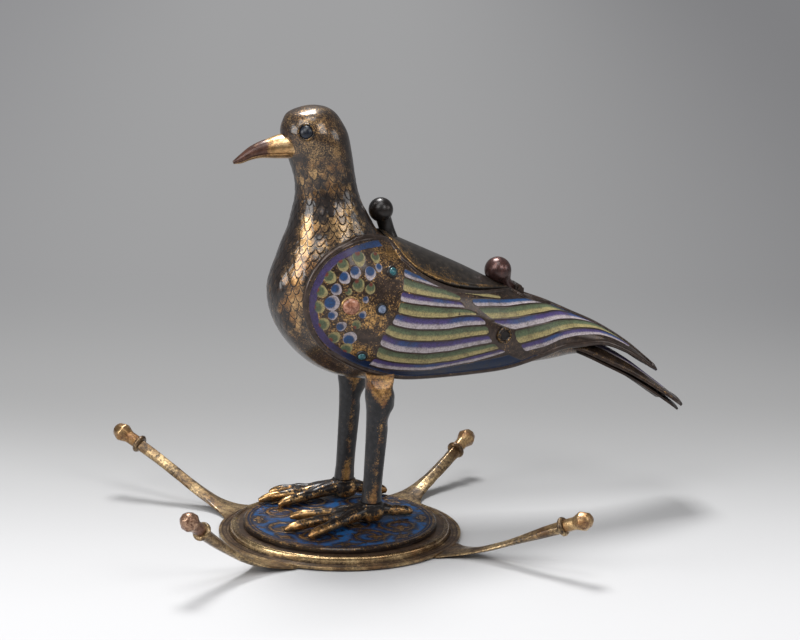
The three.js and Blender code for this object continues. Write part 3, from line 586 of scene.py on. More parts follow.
def coverage(look, amount):
    """The noise level above which metal shows, for a share of 0 to 1 of the surface."""
    return look.math("MULTIPLY_ADD", amount, -0.32, 0.66)


def scale_lines(look, fit):
    """The engraved outlines of the scale feathers, and a chance tone for each of them."""
    row, side = look.mark("row"), look.mark("side")
    upper = look.math("FLOOR", row)
    below = look.math("FRACT", row)
    square, slope, start = fit
    columns = look.math("MULTIPLY_ADD", upper, square, slope)
    columns = look.math("ROUND", look.math("MULTIPLY_ADD", columns, upper, start))
    odd = look.times(look.math("FLOORED_MODULO", upper, 2.0), 0.5)
    place = look.math("MULTIPLY_ADD", side, columns, odd)
    across = look.math("ABSOLUTE", look.minus(look.math("FRACT", place), 0.5))
    bow = look.math("POWER", look.times(across, 2.0), SCALE_BOW)
    tip = look.math("MULTIPLY_ADD", bow, -SCALE_TIP, SCALE_TIP + 0.04)
    steep = look.times(across, 3.6 * SCALE_STEP / SCALE_WIDTH)
    steep = look.math("SQRT", look.math("MULTIPLY_ADD", steep, steep, 1.0))
    gap = look.times(look.minus(tip, below), SCALE_STEP)
    gap = look.math("DIVIDE", look.math("ABSOLUTE", gap), steep)
    wander = look.step(look.noise(1.6, detail=2), 0.3, 0.7, 0.34, 0.56)
    line = look.minus(1.0, look.step(gap, look.times(wander, 0.4), wander))
    line = look.times(line, look.mark("fade"))
    is_next = look.math("GREATER_THAN", below, tip)
    number = look.math("MULTIPLY_ADD", look.plus(upper, is_next), 37.0, look.math("FLOOR", place))
    chance = look.node("ShaderNodeTexWhiteNoise", {"W": number}, noise_dimensions="1D").outputs[0]
    return line, look.math("MULTIPLY_ADD", chance, 0.24, -0.12)


def enamel(name, ground, ground_dull, ground_dark, amount=0.5, wear=0.66, stain_share=0.45):
    """Glass in metal cells: the marks say how deep inside a cell a point is, and its colour.
    Glass is missing where a slow noise passes `wear`."""
    look = Look(name)
    ragged = look.math("MULTIPLY_ADD", look.noise(1.1, detail=3), 0.3, -0.15)
    inside = look.step(look.plus(look.mark("cell"), ragged), -0.05, 0.08)
    lost = look.step(look.noise(3.5, detail=6, roughness=0.7), wear, wear + 0.03, 1.0, 0.0)
    inside = look.times(inside, lost)
    broad = look.noise(5.0, detail=6, roughness=0.7)
    speck = look.noise(0.75, detail=5, roughness=0.75)
    value = look.plus(look.times(broad, 0.35), look.times(speck, 0.65))
    amount = look.plus(look.mark("gilt"), amount)
    value = look.minus(value, coverage(look, amount))
    gold = look.step(value, -0.05, 0.05)
    tone = look.blend(look.step(look.noise(1.8, detail=4), 0.4, 0.6), ground_dull, ground)
    metal = look.blend(gold, patina(look, ground_dark, 2.5), tone)
    mottle = look.noise(0.8, detail=5, roughness=0.8)
    stain = look.noise(4.0, detail=5, roughness=0.65)
    glass = look.mark_colour("enamel")
    glass = look.blend(look.step(mottle, 0.38, 0.6), look.shade(glass, 0.55, 0.9), glass)
    glass = look.blend(look.step(stain, 0.45, 0.7, 0, stain_share), glass, linear(60, 50, 42))
    pits = look.step(look.noise(0.5, detail=2), 0.66, 0.74, 0, 0.8)
    glass = look.blend(pits, glass, BLACK_BROWN)
    look.use(Base_Color=look.blend(inside, metal, glass))
    bare = look.between(gold, 0.6, 1.0)
    look.use(Metallic=look.between(inside, bare, 0.0))
    glaze = look.step(mottle, 0.3, 0.7, 0.3, 0.5)
    look.use(Roughness=look.between(inside, look.between(gold, 0.34, 0.32), glaze))
    look.use(Specular_IOR_Level=0.22, Coat_Weight=look.between(inside, 0.4, 0.06), Coat_Roughness=0.16)
    grain = look.plus(look.times(speck, 0.8), look.times(gold, 0.5))
    look.bump(look.between(inside, grain, look.times(mottle, 0.3)), 0.45, 0.12)
    return look.material


def glass(name, deep, pale, bubble=2.0, roughness=0.25, coat=0.2):
    look = Look(name)
    swirl = look.noise(bubble, detail=4, roughness=0.6, distortion=1.2)
    speck = look.noise(0.5, detail=3)
    colour = look.blend(look.step(swirl, 0.35, 0.65), deep, pale)
    colour = look.blend(look.step(speck, 0.62, 0.72, 0, 0.5), colour, deep)
    look.use(Base_Color=colour, Roughness=roughness)
    look.use(Coat_Weight=coat, Coat_Roughness=0.08, Specular_IOR_Level=0.4)
    look.bump(swirl, 0.12, 0.1)
    return look.material


BRASS_LOOK = worn_metal("old_brass", linear(232, 200, 148), linear(132, 100, 66), BRASS_SHADE,
                        amount=0.44, patch=9, grain=1.1, shine=(0.26, 0.42), soft=0.12)
KNOB_LOOK = worn_metal("knob_brass", PALE_BRASS, linear(164, 124, 78), RED_BROWN, amount=0.6, patch=5,
                       grain=1.0, soft=0.12)
COPPER_KNOB_LOOK = worn_metal("knob_copper", linear(196, 162, 134), linear(142, 106, 86), RED_BROWN,
                              amount=0.6, patch=4, grain=1.0, soft=0.14)
DISK_LOOK = enamel("disk_enamel", linear(190, 148, 92), linear(112, 82, 50), linear(44, 33, 28), amount=0.3,
                   wear=0.53, stain_share=0.4)
WING_LOOK = enamel("wing_enamel", GILT, OLD_GILT, linear(66, 53, 46), amount=0.0)
FOOT_LOOK = worn_metal("foot_gilt", linear(210, 168, 112), linear(168, 124, 74), linear(32, 27, 26),
                       patch=4, grain=1.0, soft=0.05, broad_share=0.65)
LEG_LOOK = worn_metal("leg_copper", linear(184, 142, 86), linear(134, 92, 58), linear(38, 38, 41), patch=4,
                      grain=0.7, shine=(0.4, 0.42), soft=0.08, varnish=0.35)
BEAK_LOOK = worn_metal("beak_gilt", linear(228, 194, 146), linear(190, 148, 98), linear(84, 56, 46),
                       patch=5, grain=1.0, shine=(0.32, 0.36), soft=0.1)
LID_LOOK = worn_metal("lid_bronze", GILT, OLD_GILT, linear(50, 45, 41), patch=5, grain=0.7,
                      shine=(0.3, 0.34))
DARK_KNOB_LOOK = worn_metal("dark_knob", BROWN, DARK_BROWN, BLACK_BROWN, amount=0.4, patch=5, grain=1.0,
                            shine=(0.36, 0.36), soft=0.2, varnish=0.5, blur=0.3)
RED_KNOB_LOOK = worn_metal("red_copper", linear(116, 78, 70), linear(84, 56, 52), linear(52, 38, 38),
                           amount=0.5, patch=6, grain=1.4, shine=(0.34, 0.34), soft=0.2,
                           varnish=0.5, blur=0.26)
GILT_LOOK = worn_metal("worn_gilt", PALE_GILT, GILT, BROWN, amount=0.55, patch=3, grain=0.7)
SETTING_LOOK = worn_metal("worn_setting", GILT, OLD_GILT, DARK_BROWN, amount=0.35, patch=3, grain=0.7)
COPPER_LOOK = worn_metal("dark_copper", linear(92, 68, 52), BROWN, DARK_BROWN, amount=0.5, patch=8,
                         grain=0.9, shine=(0.35, 0.42), soft=0.2)
EYE_LOOK = glass("eye_glass", linear(8, 11, 19), linear(20, 28, 44), bubble=3.0, roughness=0.34, coat=0.1)
STONE_LOOKS = {
    "amber_glass": glass("amber", linear(108, 62, 42), linear(172, 122, 98), bubble=2.2),
    "turquoise_glass": glass("turquoise", linear(20, 58, 66), linear(50, 106, 112), bubble=1.6),
    "pale_blue_glass": glass("pale_blue", linear(76, 88, 110), linear(122, 134, 156), bubble=2.0),
}


# Camera

SENSOR = 36
PHOTO_WIDTH = 800
FOCAL_PIXELS = 2832.637
CAMERA_AT = Vector((-0.375895, -1.103621, 0.380335))
CAMERA_AZIMUTH = math.radians(-20)
CAMERA_ELEVATION = math.radians(13.7465165)
CAMERA_ROLL = math.radians(1.0878301)


def camera():
    data = bpy.data.cameras.new("camera")
    data.sensor_width = SENSOR
    data.lens = FOCAL_PIXELS * SENSOR / PHOTO_WIDTH
    data.clip_start = 0.05
    data.clip_end = 20
    made = bpy.data.objects.new("camera", data)
    bpy.context.scene.collection.objects.link(made)
    az, el, roll = CAMERA_AZIMUTH, CAMERA_ELEVATION, CAMERA_ROLL
    back = Vector((math.sin(az) * math.cos(el), -math.cos(az) * math.cos(el), math.sin(el)))
    right = Vector((math.cos(az), math.sin(az), 0))
    up = back.cross(right)
    x_axis = right * math.cos(roll) + up * math.sin(roll)
    y_axis = up * math.cos(roll) - right * math.sin(roll)
    turn = Matrix((x_axis, y_axis, back)).transposed().to_4x4()
    made.matrix_world = Matrix.Translation(CAMERA_AT) @ turn
    bpy.context.scene.camera = made


# Dish and disk


def dish():
    profile = [
        (0, 0), (DISH_RADIUS - 2, 0), (DISH_RADIUS - 0.1, 0.7), (DISH_RADIUS, DISH_EDGE),
        (DISH_RADIUS - 1.3, DISH_EDGE), (DISH_RADIUS - 1.5, DISH_EDGE - 0.25),
        (DISH_RADIUS - 1.9, DISH_EDGE - 0.25), (DISH_RADIUS - 2.1, DISH_EDGE),
        (DISH_RADIUS - 3.1, DISH_EDGE), (DISH_RADIUS - 3.3, DISH_EDGE - 0.2),
        (DISH_RADIUS - 3.6, DISH_EDGE - 0.2), (DISH_RADIUS - 3.8, DISH_EDGE),
        (DISH_STEP_RADIUS + 0.3, DISH_EDGE), (DISH_STEP_RADIUS + 0.05, DISH_EDGE - 0.5),
        (DISH_STEP_RADIUS - 0.1, DISH_EDGE + 0.4),
        (DISH_RING_RADIUS + 1, DISH_RING_HEIGHT - 1.3), (DISH_RING_RADIUS + 0.7, DISH_RING_HEIGHT - 0.4),
        (DISH_RING_RADIUS, DISH_RING_HEIGHT), (DISH_RING_RADIUS - 1.0, DISH_RING_HEIGHT - 0.1),
        (DISH_RING_RADIUS - 1.5, DISH_LEDGE - 0.2), (DISH_RING_RADIUS - 2.6, DISH_LEDGE - 0.1),
        (DISH_RING_RADIUS - 2.9, DISH_LEDGE), (DISH_WELL_RADIUS, DISH_LEDGE),
        (DISH_WELL_RADIUS, DISH_FLOOR), (0, DISH_FLOOR),
    ]
    shape = lathe(eased(profile, 0.3, 3), 256)
    radius, height = np.hypot(shape[0][:, 0], shape[0][:, 1]), shape[0][:, 2]
    # Extra gilding on the ring's crest and outer flank is a painted highlight, standing in for the bright
    # reflection along the ring's front.
    crest = smooth(DISH_RING_HEIGHT - 0.8, DISH_RING_HEIGHT - 0.1, height) * (radius > DISK_RADIUS + 2)
    painted_flank_highlight = smooth(DISH_EDGE + 0.3, DISH_EDGE + 1.2, height) * (radius > DISH_RING_RADIUS)
    gilt = 0.6 * np.maximum(crest, painted_flank_highlight) - 0.2 * (radius > DISH_STEP_RADIUS)
    gilt = gilt + 0.3 * (radius > DISH_RADIUS - 1.3)
    gilt = gilt - 0.5 * (height < DISH_EDGE - 0.15) * (radius < DISH_RADIUS - 1)
    gilt = gilt - 0.4 * (radius < DISH_RING_RADIUS - 1.4)
    piece("base_dish_turned", shape, BRASS_LOOK, ["base_dish"], crease=60,
          marks={"gilt": gilt})


DISK_BLUES = linear(4, 26, 54), linear(6, 74, 128)
DISK_BORDER = 1.7
DISK_BAND = 4.2
DISK_SINK = 0.16
SCROLLS = 8
SCROLL_START = 8
BUD_ORBIT = 35.2
SCROLL_ORBIT = 26.5
SCROLL_RADIUS = 8.6
INNER_SCROLLS = 4
INNER_START = 30
INNER_ORBIT = 10.5
INNER_RADIUS = 6.4


def arc(centre, radius, start, end, width, shrink=0.0):
    """Points of a curling stem: x, y and half-width."""
    angle = np.radians(np.linspace(start, end, max(int(abs(end - start) * radius / 12), 8)))
    reach = radius * (1 - shrink * np.linspace(0, 1, len(angle)))
    x = centre[0] + reach * np.cos(angle)
    y = centre[1] + reach * np.sin(angle)
    return np.stack([x, y, np.full(len(angle), width)], -1)


def leaf(centre, direction, length, width):
    """Points of a pointed leaf: x, y and half-width."""
    share = np.linspace(0, 1, 12)
    along = np.radians(direction)
    x = centre[0] + share * length * np.cos(along)
    y = centre[1] + share * length * np.sin(along)
    return np.stack([x, y, width * np.sin(np.pi * np.clip(share * 0.9 + 0.08, 0, 1)) ** 0.8], -1)


def scroll(angle, orbit, radius, hand):
    """A curled stem that ends in a three-lobed leaf, with a side shoot on its outside."""
    centre = (orbit * math.cos(math.radians(angle)), orbit * math.sin(math.radians(angle)))
    start = angle + 180
    stem = arc(centre, radius, start, start + hand * 470, 0.62, 0.62)
    end = stem[-1]
    heading = start + hand * (470 + 95)
    lobes = [leaf(end[:2], heading + bend, radius * size, 1.25) for bend, size in
             ((0, 0.5), (70, 0.38), (-70, 0.38))]
    shoot_at = stem[len(stem) // 4]
    shoot = leaf(shoot_at[:2], start + hand * 40, radius * 0.5, 1.05)
    return [stem, *lobes, shoot]


def disk():
    rings = np.concatenate([np.linspace(0.4, DISK_RADIUS - 0.6, 112), [DISK_RADIUS - 0.25, DISK_RADIUS]])
    angle = np.arange(660) * 2 * np.pi / 660
    x = rings[:, None] * np.cos(angle)
    y = rings[:, None] * np.sin(angle)
    strokes = []
    for n in range(SCROLLS):
        hand = 1 if n % 2 else -1
        strokes += scroll(n * 360 / SCROLLS + SCROLL_START, SCROLL_ORBIT, SCROLL_RADIUS, hand)
        between = math.radians((n + 0.5) * 360 / SCROLLS + SCROLL_START)
        bud = (BUD_ORBIT * math.cos(between), BUD_ORBIT * math.sin(between))
        strokes.append(arc(bud, 1.9, 0, 360, 0.42))
        strokes.append(arc(bud, 0.5, 0, 360, 0.55))
        for side in (-1, 1):
            strokes.append(leaf(bud, math.degrees(between) + side * 90, 4.6, 0.7))
    for n in range(INNER_SCROLLS):
        strokes += scroll(n * 360 / INNER_SCROLLS + INNER_START, INNER_ORBIT, INNER_RADIUS, 1)
    lines = np.vstack(strokes)
    tree = kdtree.KDTree(len(lines))
    for i, p in enumerate(lines):
        tree.insert(Vector((p[0], p[1], 0)), i)
    tree.balance()
    gap = np.empty(x.size)
    for n, (px, py) in enumerate(zip(x.ravel(), y.ravel())):
        near = tree.find_n(Vector((px, py, 0)), 3)
        gap[n] = min(distance - lines[index][2] for _, index, distance in near)
    gap = gap.reshape(x.shape)
    radius = np.hypot(x, y)
    border = DISK_RADIUS - DISK_BORDER - radius
    cell = np.minimum(gap, border)
    groove = np.abs(radius - (DISK_RADIUS - 2.9)) - 0.22
    cell = np.minimum(cell, np.where(radius > DISK_RADIUS - DISK_BAND, groove, 9))
    sink = -DISK_SINK * smooth(-0.1, 0.3, cell) * (radius < DISK_RADIUS - 0.7)
    edge = -0.5 * smooth(DISK_RADIUS - 0.6, DISK_RADIUS, radius)
    top = np.stack([x, y, DISK_TOP + sink + edge], -1)
    low = DISH_LEDGE + FIT
    foot = np.stack([x[-1], y[-1], np.full(len(angle), low)], -1)
    grid = np.concatenate([top, foot[None]])
    shape = loft(grid, (np.array([0, 0, DISK_TOP]), np.array([0, 0, low])))
    deep, bright = DISK_BLUES
    share = smooth(0.4, 3, cell)[..., None]
    colour = mix(deep, bright, share)
    hidden = len(angle) + 2
    marks = {
        "cell": followed_by(cell.ravel(), -1, hidden),
        "enamel": followed_by(colour.reshape(-1, 4), deep, hidden),
        "gilt": followed_by((0.25 * (cell < 0) * smooth(41.2, 40.6, radius)).ravel(), -0.4, hidden),
    }
    piece("enamel_disk_scrolls", shape, DISK_LOOK, ["enamel_disk"], marks=marks)


# Arms


def arm_frame(root, heading, reach, height, rise, middle):
    def level(angle):
        return np.array([math.cos(math.radians(angle)), math.sin(math.radians(angle)), 0])

    tip_way = level(heading) * math.cos(math.radians(rise)) + (0, 0, math.sin(math.radians(rise)))
    knob = level(heading) * reach + (0, 0, height)
    collar = knob - tip_way * KNOB_REACH
    return level(root), tip_way, knob, collar, collar - tip_way * (COLLAR_THICKNESS / 2 + 0.05), middle


def arm(name, root_way, tip_way, bar_end, middle):
    overlap = 3
    start = root_way * (DISH_RADIUS - overlap) + (0, 0, DISH_EDGE / 2)
    reach = np.linalg.norm(bar_end - start)
    knots = [start, start + root_way * reach * 0.3, bar_end - tip_way * reach * 0.42, bar_end]
    share = np.linspace(0, 1, 400)[:, None]
    fine = (knots[0] * (1 - share) ** 3 + 3 * knots[1] * share * (1 - share) ** 2
            + 3 * knots[2] * share**2 * (1 - share) + knots[3] * share**3)
    length = np.concatenate([[0], np.cumsum(np.linalg.norm(np.diff(fine, axis=0), axis=1))])
    steps = 72
    want = np.linspace(0, length[-1], steps)
    path = np.stack([np.interp(want, length, fine[:, axis]) for axis in range(3)], -1)
    along = unit(np.gradient(path, axis=0))
    across = unit(np.cross([0, 0, 1.0], along))
    up = np.cross(along, across)
    corners = [(-1, -0.4), (-0.4, -1), (0.4, -1), (1, -0.4), (0.9, 0.3), (0, 1), (-0.9, 0.3)]
    section = eased(corners, 0.16, 3, closed=True)
    share = np.linspace(0, 1, steps)
    from_dish = np.maximum(share * reach - overlap, 0)
    flare = (ARM_ROOT_WIDTH - ARM_BAR_WIDTH) * np.exp(-from_dish / ARM_FLARE_LENGTH)
    wobble = 0.12 * np.sin(share * 23 + len(name)) + 0.1 * np.sin(share * 41)
    half_width = (ARM_BAR_WIDTH + flare + wobble) / 2
    thick = mix(middle, ARM_BAR_HEIGHT, smooth(0.5, 1, share))
    half_height = mix(DISH_EDGE, thick, smooth(0.1, 0.5, share)) / 2
    rings = (path[:, None] + section[None, :, :1] * half_width[:, None, None] * across[:, None]
             + section[None, :, 1:] * half_height[:, None, None] * up[:, None])
    flat = np.linalg.norm(rings[..., :2], axis=-1)
    edge = DISH_RADIUS + 0.02
    inside = flat < edge
    side = rings @ np.cross([0, 0, 1.0], root_way)
    reach_out = np.sqrt(np.maximum(edge**2 - side**2, 0))
    moved = root_way * reach_out[..., None] + np.cross([0, 0, 1.0], root_way) * side[..., None]
    moved[..., 2] = rings[..., 2]
    rings = np.where(inside[..., None], moved, rings)
    rings[..., 2] = np.maximum(rings[..., 2], 0)
    piece(f"arm_bar_{name}", loft(rings), BRASS_LOOK, [f"arm_{name}"], crease=28)


def arm_ends(name, tip_way, knob, collar):
    half, rim, hole = COLLAR_THICKNESS / 2, COLLAR_RADIUS, 1.3
    ring = [(hole, -half), (rim - 0.6, -half), (rim, -0.35), (rim, 0.35), (rim - 0.6, half),
            (hole, half), (hole, -half)]
    collar_piece = piece(f"collar_{name}", aimed(lathe(ring, 24), collar, tip_way), BRASS_LOOK,
                         [f"arm_collar_{name}"])
    soften_edges(collar_piece, 0.18)
    low = -KNOB_REACH + half + 0.05
    profile = [(0, low), (KNOB_NECK_RADIUS, low), (KNOB_NECK_RADIUS, -0.9 * KNOB_RADIUS)]
    for angle in (-45, 0, 45):
        c, s = math.cos(math.radians(angle)), math.sin(math.radians(angle))
        profile.append((KNOB_RADIUS * c, KNOB_RADIUS * s))
    profile += [(KNOB_RADIUS * 0.35, KNOB_RADIUS), (0, KNOB_RADIUS)]
    shape = aimed(lathe(profile, 8), knob, tip_way)
    look = COPPER_KNOB_LOOK if name == "front_left" else KNOB_LOOK
    made = piece(f"knob_{name}", shape, look, [f"arm_knob_{name}"])
    soften_edges(made, 0.4, 3)


# Feet and legs


def toe(leg_y, tip_x, tip_y, hind):
    root = np.array([FOOT_X + (2 if hind else -2), leg_y, TOE_Z + 4.6])
    tip = np.array([tip_x, tip_y, TOE_Z + 0.9])
    stops = [(0, 4.6, 3.6), (0.3, 3.8, 2.8), (0.45, 3.1, 2.3), (0.58, 3.0, 2.5), (0.7, 2.6, 2.15),
             (0.82, 2.3, 2.3), (0.92, 1.8, 1.8), (1, 1.1, 0.9)]
    share = np.linspace(0, len(stops) - 1, 40)
    row = spline(stops, share)
    path = root + (tip - root) * row[:, :1]
    path[:, 2] = TOE_Z + row[:, 1]
    along = unit(np.gradient(path, axis=0))
    side = unit(np.cross(along, [0, 0, 1.0]))
    rise = np.cross(side, along)
    angle = round_angles(20)
    circle = np.cos(angle)[None, :, None] * side[:, None] + np.sin(angle)[None, :, None] * rise[:, None]
    rings = path[:, None] + circle * row[:, 2][:, None, None]
    rings[..., 2] = np.maximum(rings[..., 2], TOE_Z + 0.02)
    return loft(rings)


def foot(side):
    leg_y = LEG_Y[side]
    ankle = [(0, TOE_Z + 0.3), (5.0, TOE_Z + 0.6), (6.1, TOE_Z + 3.4), (5.7, FOOT_TOP - 2.4),
             (5.2, FOOT_TOP - 1.3), (5.4, FOOT_TOP - 0.5), (4.9, FOOT_TOP), (0, FOOT_TOP)]
    base_points, base_faces = lathe(eased(ankle, 0.6, 4), 48)
    shapes = [(base_points + (FOOT_X, leg_y, 0), base_faces)]
    for n, (x, y) in enumerate(TOES[side]):
        shapes.append(toe(leg_y, x, y, n == 3))
    made = piece(f"foot_{side}_cast", together(*shapes), FOOT_LOOK, [f"foot_{side}"])
    melt(made, 0.32, 5)
    mark_gilding(made, lambda p: 0.6 + 0.2 * smooth(-8, -24, p[:, 0]) - 0.4 * smooth(9, 13, p[:, 2])
                 + 0.15 * smooth(16, 24, p[:, 0]))


def mark_gilding(made, amount):
    """Writes the gilt mark of a finished mesh from the places of its points."""
    mesh = made.data
    places = np.empty(len(mesh.vertices) * 3, np.float32)
    mesh.vertices.foreach_get("co", places)
    values = np.asarray(amount(places.reshape(-1, 3) / MM), np.float32)
    mesh.attributes.new("gilt", "FLOAT", "POINT").data.foreach_set("value", values)


def leg(side):
    leg_y = LEG_Y[side]
    row = spline(LEG_STOPS, np.linspace(0, len(LEG_STOPS) - 1, 110))
    angle = round_angles(64)
    dent = 1 + 0.018 * np.sin(3 * angle + row[:, :1] * 0.11) + 0.012 * np.sin(5 * angle - row[:, :1] * 0.2)
    hock = np.exp(-((row[:, :1] - 57) / 2.4) ** 2) - 0.8 * np.exp(-((row[:, :1] - 65) / 3.5) ** 2)
    hock = hock - 0.5 * np.exp(-((row[:, :1] - 51) / 2.5) ** 2)
    x = row[:, 1:2] + row[:, 2:3] * np.cos(angle) * dent + hock * np.maximum(np.cos(angle), 0)
    y = leg_y + row[:, 3:4] * np.sin(angle) * dent
    z = np.broadcast_to(row[:, :1], x.shape)
    rings = np.stack([x, y, z], -1)
    rings = tucked_under_wing(rings, 1 if side == "left" else -1)
    made = piece(f"leg_{side}_shaft", loft(rings), LEG_LOOK, [f"leg_{side}"])
    mark_gilding(made, leg_gilding)


def tucked_under_wing(points, hand):
    """The same points, held inside the wing: height and how far out the leg may reach there."""
    height, reach = [60, 63.5, 66.5, 69.5, 72.5, 84], [9, 5.6, 4.5, 2.6, 0.4, -2]
    limit = np.interp(points[..., 2], height, reach)
    out = hand * (LEG_Y["left" if hand > 0 else "right"] - points[..., 1])
    ease = 0.5
    held = limit - ease * np.logaddexp(0, (limit - out) / ease)
    points = points.copy()
    points[..., 1] += hand * (out - held)
    return points


def leg_gilding(p):
    """The thigh keeps its gilding, the shaft only a streak, the ankle a patch in front."""
    height = p[:, 2]
    aside = p[:, 0] - np.interp(height, [row[0] for row in LEG_STOPS], [row[1] for row in LEG_STOPS])
    thigh = 0.55 * smooth(-2, 4, height - 55.5 - 1.6 * np.abs(aside + 0.6))
    ankle = 0.6 * smooth(26, 17, height) * np.exp(-((aside + 0.6) / 1.8) ** 2)
    streak = 0.31 * np.exp(-((aside + 0.2) / 1.5) ** 2) * smooth(58, 50, height)
    return 0.06 + thigh + ankle + streak


# Body

# Gilding left on the body: station, turn from the back, spread in stations, in degrees, amount
BODY_SPOTS = [
    (8.7, 143, 0.5, 8, 0.4), (9.4, 141, 0.6, 8, 0.4), (10.3, 139, 0.6, 8, 0.4), (11.0, 143, 0.5, 8, 0.4),
    (11.7, 148, 0.5, 7, 0.38), (12.3, 151, 0.35, 6, 0.3), (8.8, 100, 0.45, 34, 0.35),
    (8.3, 80, 0.4, 25, 0.15), (4.9, 74, 0.35, 13, 0.25), (5.7, 108, 0.7, 26, 0.16),
    (7.0, 128, 0.7, 10, 0.12), (3.2, 92, 1.4, 40, 0.12), (5.2, 35, 3.0, 26, -0.16),
    (8.5, 174, 4.0, 14, -0.28), (13.5, 160, 1.4, 30, -0.04), (12.2, 130, 0.5, 14, 0.15),
    (7.6, 112, 0.5, 11, -0.34), (17.5, 150, 2.5, 40, 0.06), (9.6, 115, 1.0, 16, 0.12),
]
SCALE_WIDTH = 4.3
SCALE_STEP = 3.8
SCALE_DEPTH = 0.2
SCALE_TIP = 0.93
SCALE_BOW = 2.3
SCALES_START = 4.6
SCALES_END = 13.4


def scale_rows():
    """The stations of the rows of scales, evenly apart down the breast."""
    fine = np.linspace(SCALES_START, SCALES_END, 600)
    breast = on_form(BODY, fine, 180.0)
    run = np.concatenate([[0], np.cumsum(np.linalg.norm(np.diff(breast, axis=0), axis=1))])
    return np.interp(np.arange(0, run[-1], SCALE_STEP), run, fine)


def scale_counts(rows):
    """How many scales fill half of each row, as a curve over the rows."""
    cuts = spline(BODY, rows)
    depth = np.hypot(cuts[:, 0] - cuts[:, 2], cuts[:, 1] - cuts[:, 3]) / 2
    half_girth = math.pi * (depth + cuts[:, 4]) / 2
    return np.polyfit(np.arange(len(rows)), half_girth / SCALE_WIDTH, 2)


def scale_relief(row, side, counts):
    """How far each scale stands out towards its tip, from 0 to 1."""
    upper = np.floor(row)
    below = row - upper
    place = side * np.round(np.polyval(counts, upper)) + 0.5 * (upper % 2)
    bow = np.abs(2 * (place - np.floor(place)) - 1) ** SCALE_BOW
    tip = SCALE_TIP * (1 - bow) + 0.04
    return np.where(below <= tip, (1 + below) / 2, below / 2)


def open_shell(outer, inner, opening):
    """A sheet closed at both ends, with a rim where it is open. Also tells which of its points are
    used, and how many come after those of the outer face."""
    rows, cols = outer.shape[:2]
    count = rows * cols
    index = np.arange(count).reshape(rows, cols)
    index[opening == 0, -1] = index[opening == 0, 0]
    sheet = np.stack([index[:-1, :-1], index[:-1, 1:], index[1:, 1:], index[1:, :-1]], -1).reshape(-1, 4)
    quads = [sheet, sheet[:, ::-1] + count]
    for i in range(rows - 1):
        if opening[i] > 0 or opening[i + 1] > 0:
            a, b = index[i, 0], index[i + 1, 0]
            quads.append([[a, b, b + count, a + count]])
            a, b = index[i, -1], index[i + 1, -1]
            quads.append([[b, a, a + count, b + count]])
    points = np.vstack([outer.reshape(-1, 3), inner.reshape(-1, 3)])
    triangles = []
    for start, shift, hand in ((0, 0, 1), (rows - 1, 0, -1), (0, count, -1), (rows - 1, count, 1)):
        ring = index[start, :-1] + shift
        centre = len(points)
        points = np.vstack([points, points[ring].mean(0)])
        for a, b in zip(ring, np.roll(ring, -1)):
            triangles.append([centre, b, a][::hand])
    used = np.unique(np.concatenate([np.vstack(quads).ravel(), np.ravel(triangles)]))
    renumber = np.zeros(len(points), int)
    renumber[used] = np.arange(len(used))
    shape = facing_out(points[used], renumber[np.vstack(quads)], renumber[np.array(triangles)])
    return shape, used, len(points) - count


def body():
    stations = np.concatenate([
        np.linspace(0.06, SCALES_START, 70, endpoint=False),
        np.linspace(SCALES_START, SCALES_END, 190, endpoint=False),
        np.linspace(SCALES_END, BODY_END, 110),
    ])
    opening = edge_turn(BODY, stations, -LID_LAP, lambda s, t: -body_inset(s, t))
    share = np.linspace(0, 1, 321)
    turns = opening[:, None] + (360 - 2 * opening[:, None]) * share
    station_grid = np.broadcast_to(stations[:, None], turns.shape)
    inset = body_inset(station_grid, turns)
    from_back = np.abs((turns + 180) % 360 - 180)
    rows_at = scale_rows()
    counts = scale_counts(rows_at)
    row = np.interp(station_grid, rows_at, np.arange(len(rows_at)))
    fade = smooth(SCALES_START, SCALES_START + 1.6, station_grid)
    fade = fade * smooth(SCALES_END, SCALES_END - 0.8, station_grid)
    relief = SCALE_DEPTH * fade * (scale_relief(row, from_back / 180, counts) - 1) - 0.02
    outer = on_form(BODY, station_grid, turns, relief - inset)
    inner_stations = np.clip(station_grid, 0.62, BODY_END - 0.25)
    inner = on_form(BODY, inner_stations, turns, -inset - SHELL)
    shape, used, hidden = open_shell(outer, inner, opening)
    gilt = np.full(turns.shape, 0.27)
    for at, turn, spread, wide, amount in BODY_SPOTS:
        away = ((station_grid - at) / spread) ** 2 + ((from_back - turn) / wide) ** 2
        gilt += amount * np.exp(-away)
    gilt = np.clip(gilt, 0.0, 0.85)
    marks = {}
    for name, values in (("gilt", gilt), ("row", row), ("side", from_back / 180), ("fade", fade)):
        marks[name] = followed_by(values.ravel(), 0, hidden)[used]
    look = worn_metal("body_copper", linear(212, 172, 118), linear(158, 114, 68), linear(46, 37, 33),
                      patch=6, grain=0.6, soft=0.1, scales=counts, varnish=0.7, blur=0.12,
                      shine=(0.33, 0.4))
    nodes = ["body_shell_left", "body_shell_right"]
    piece("body_hollow", shape, look, nodes, marks=marks, crease=60)


# Beak and eyes


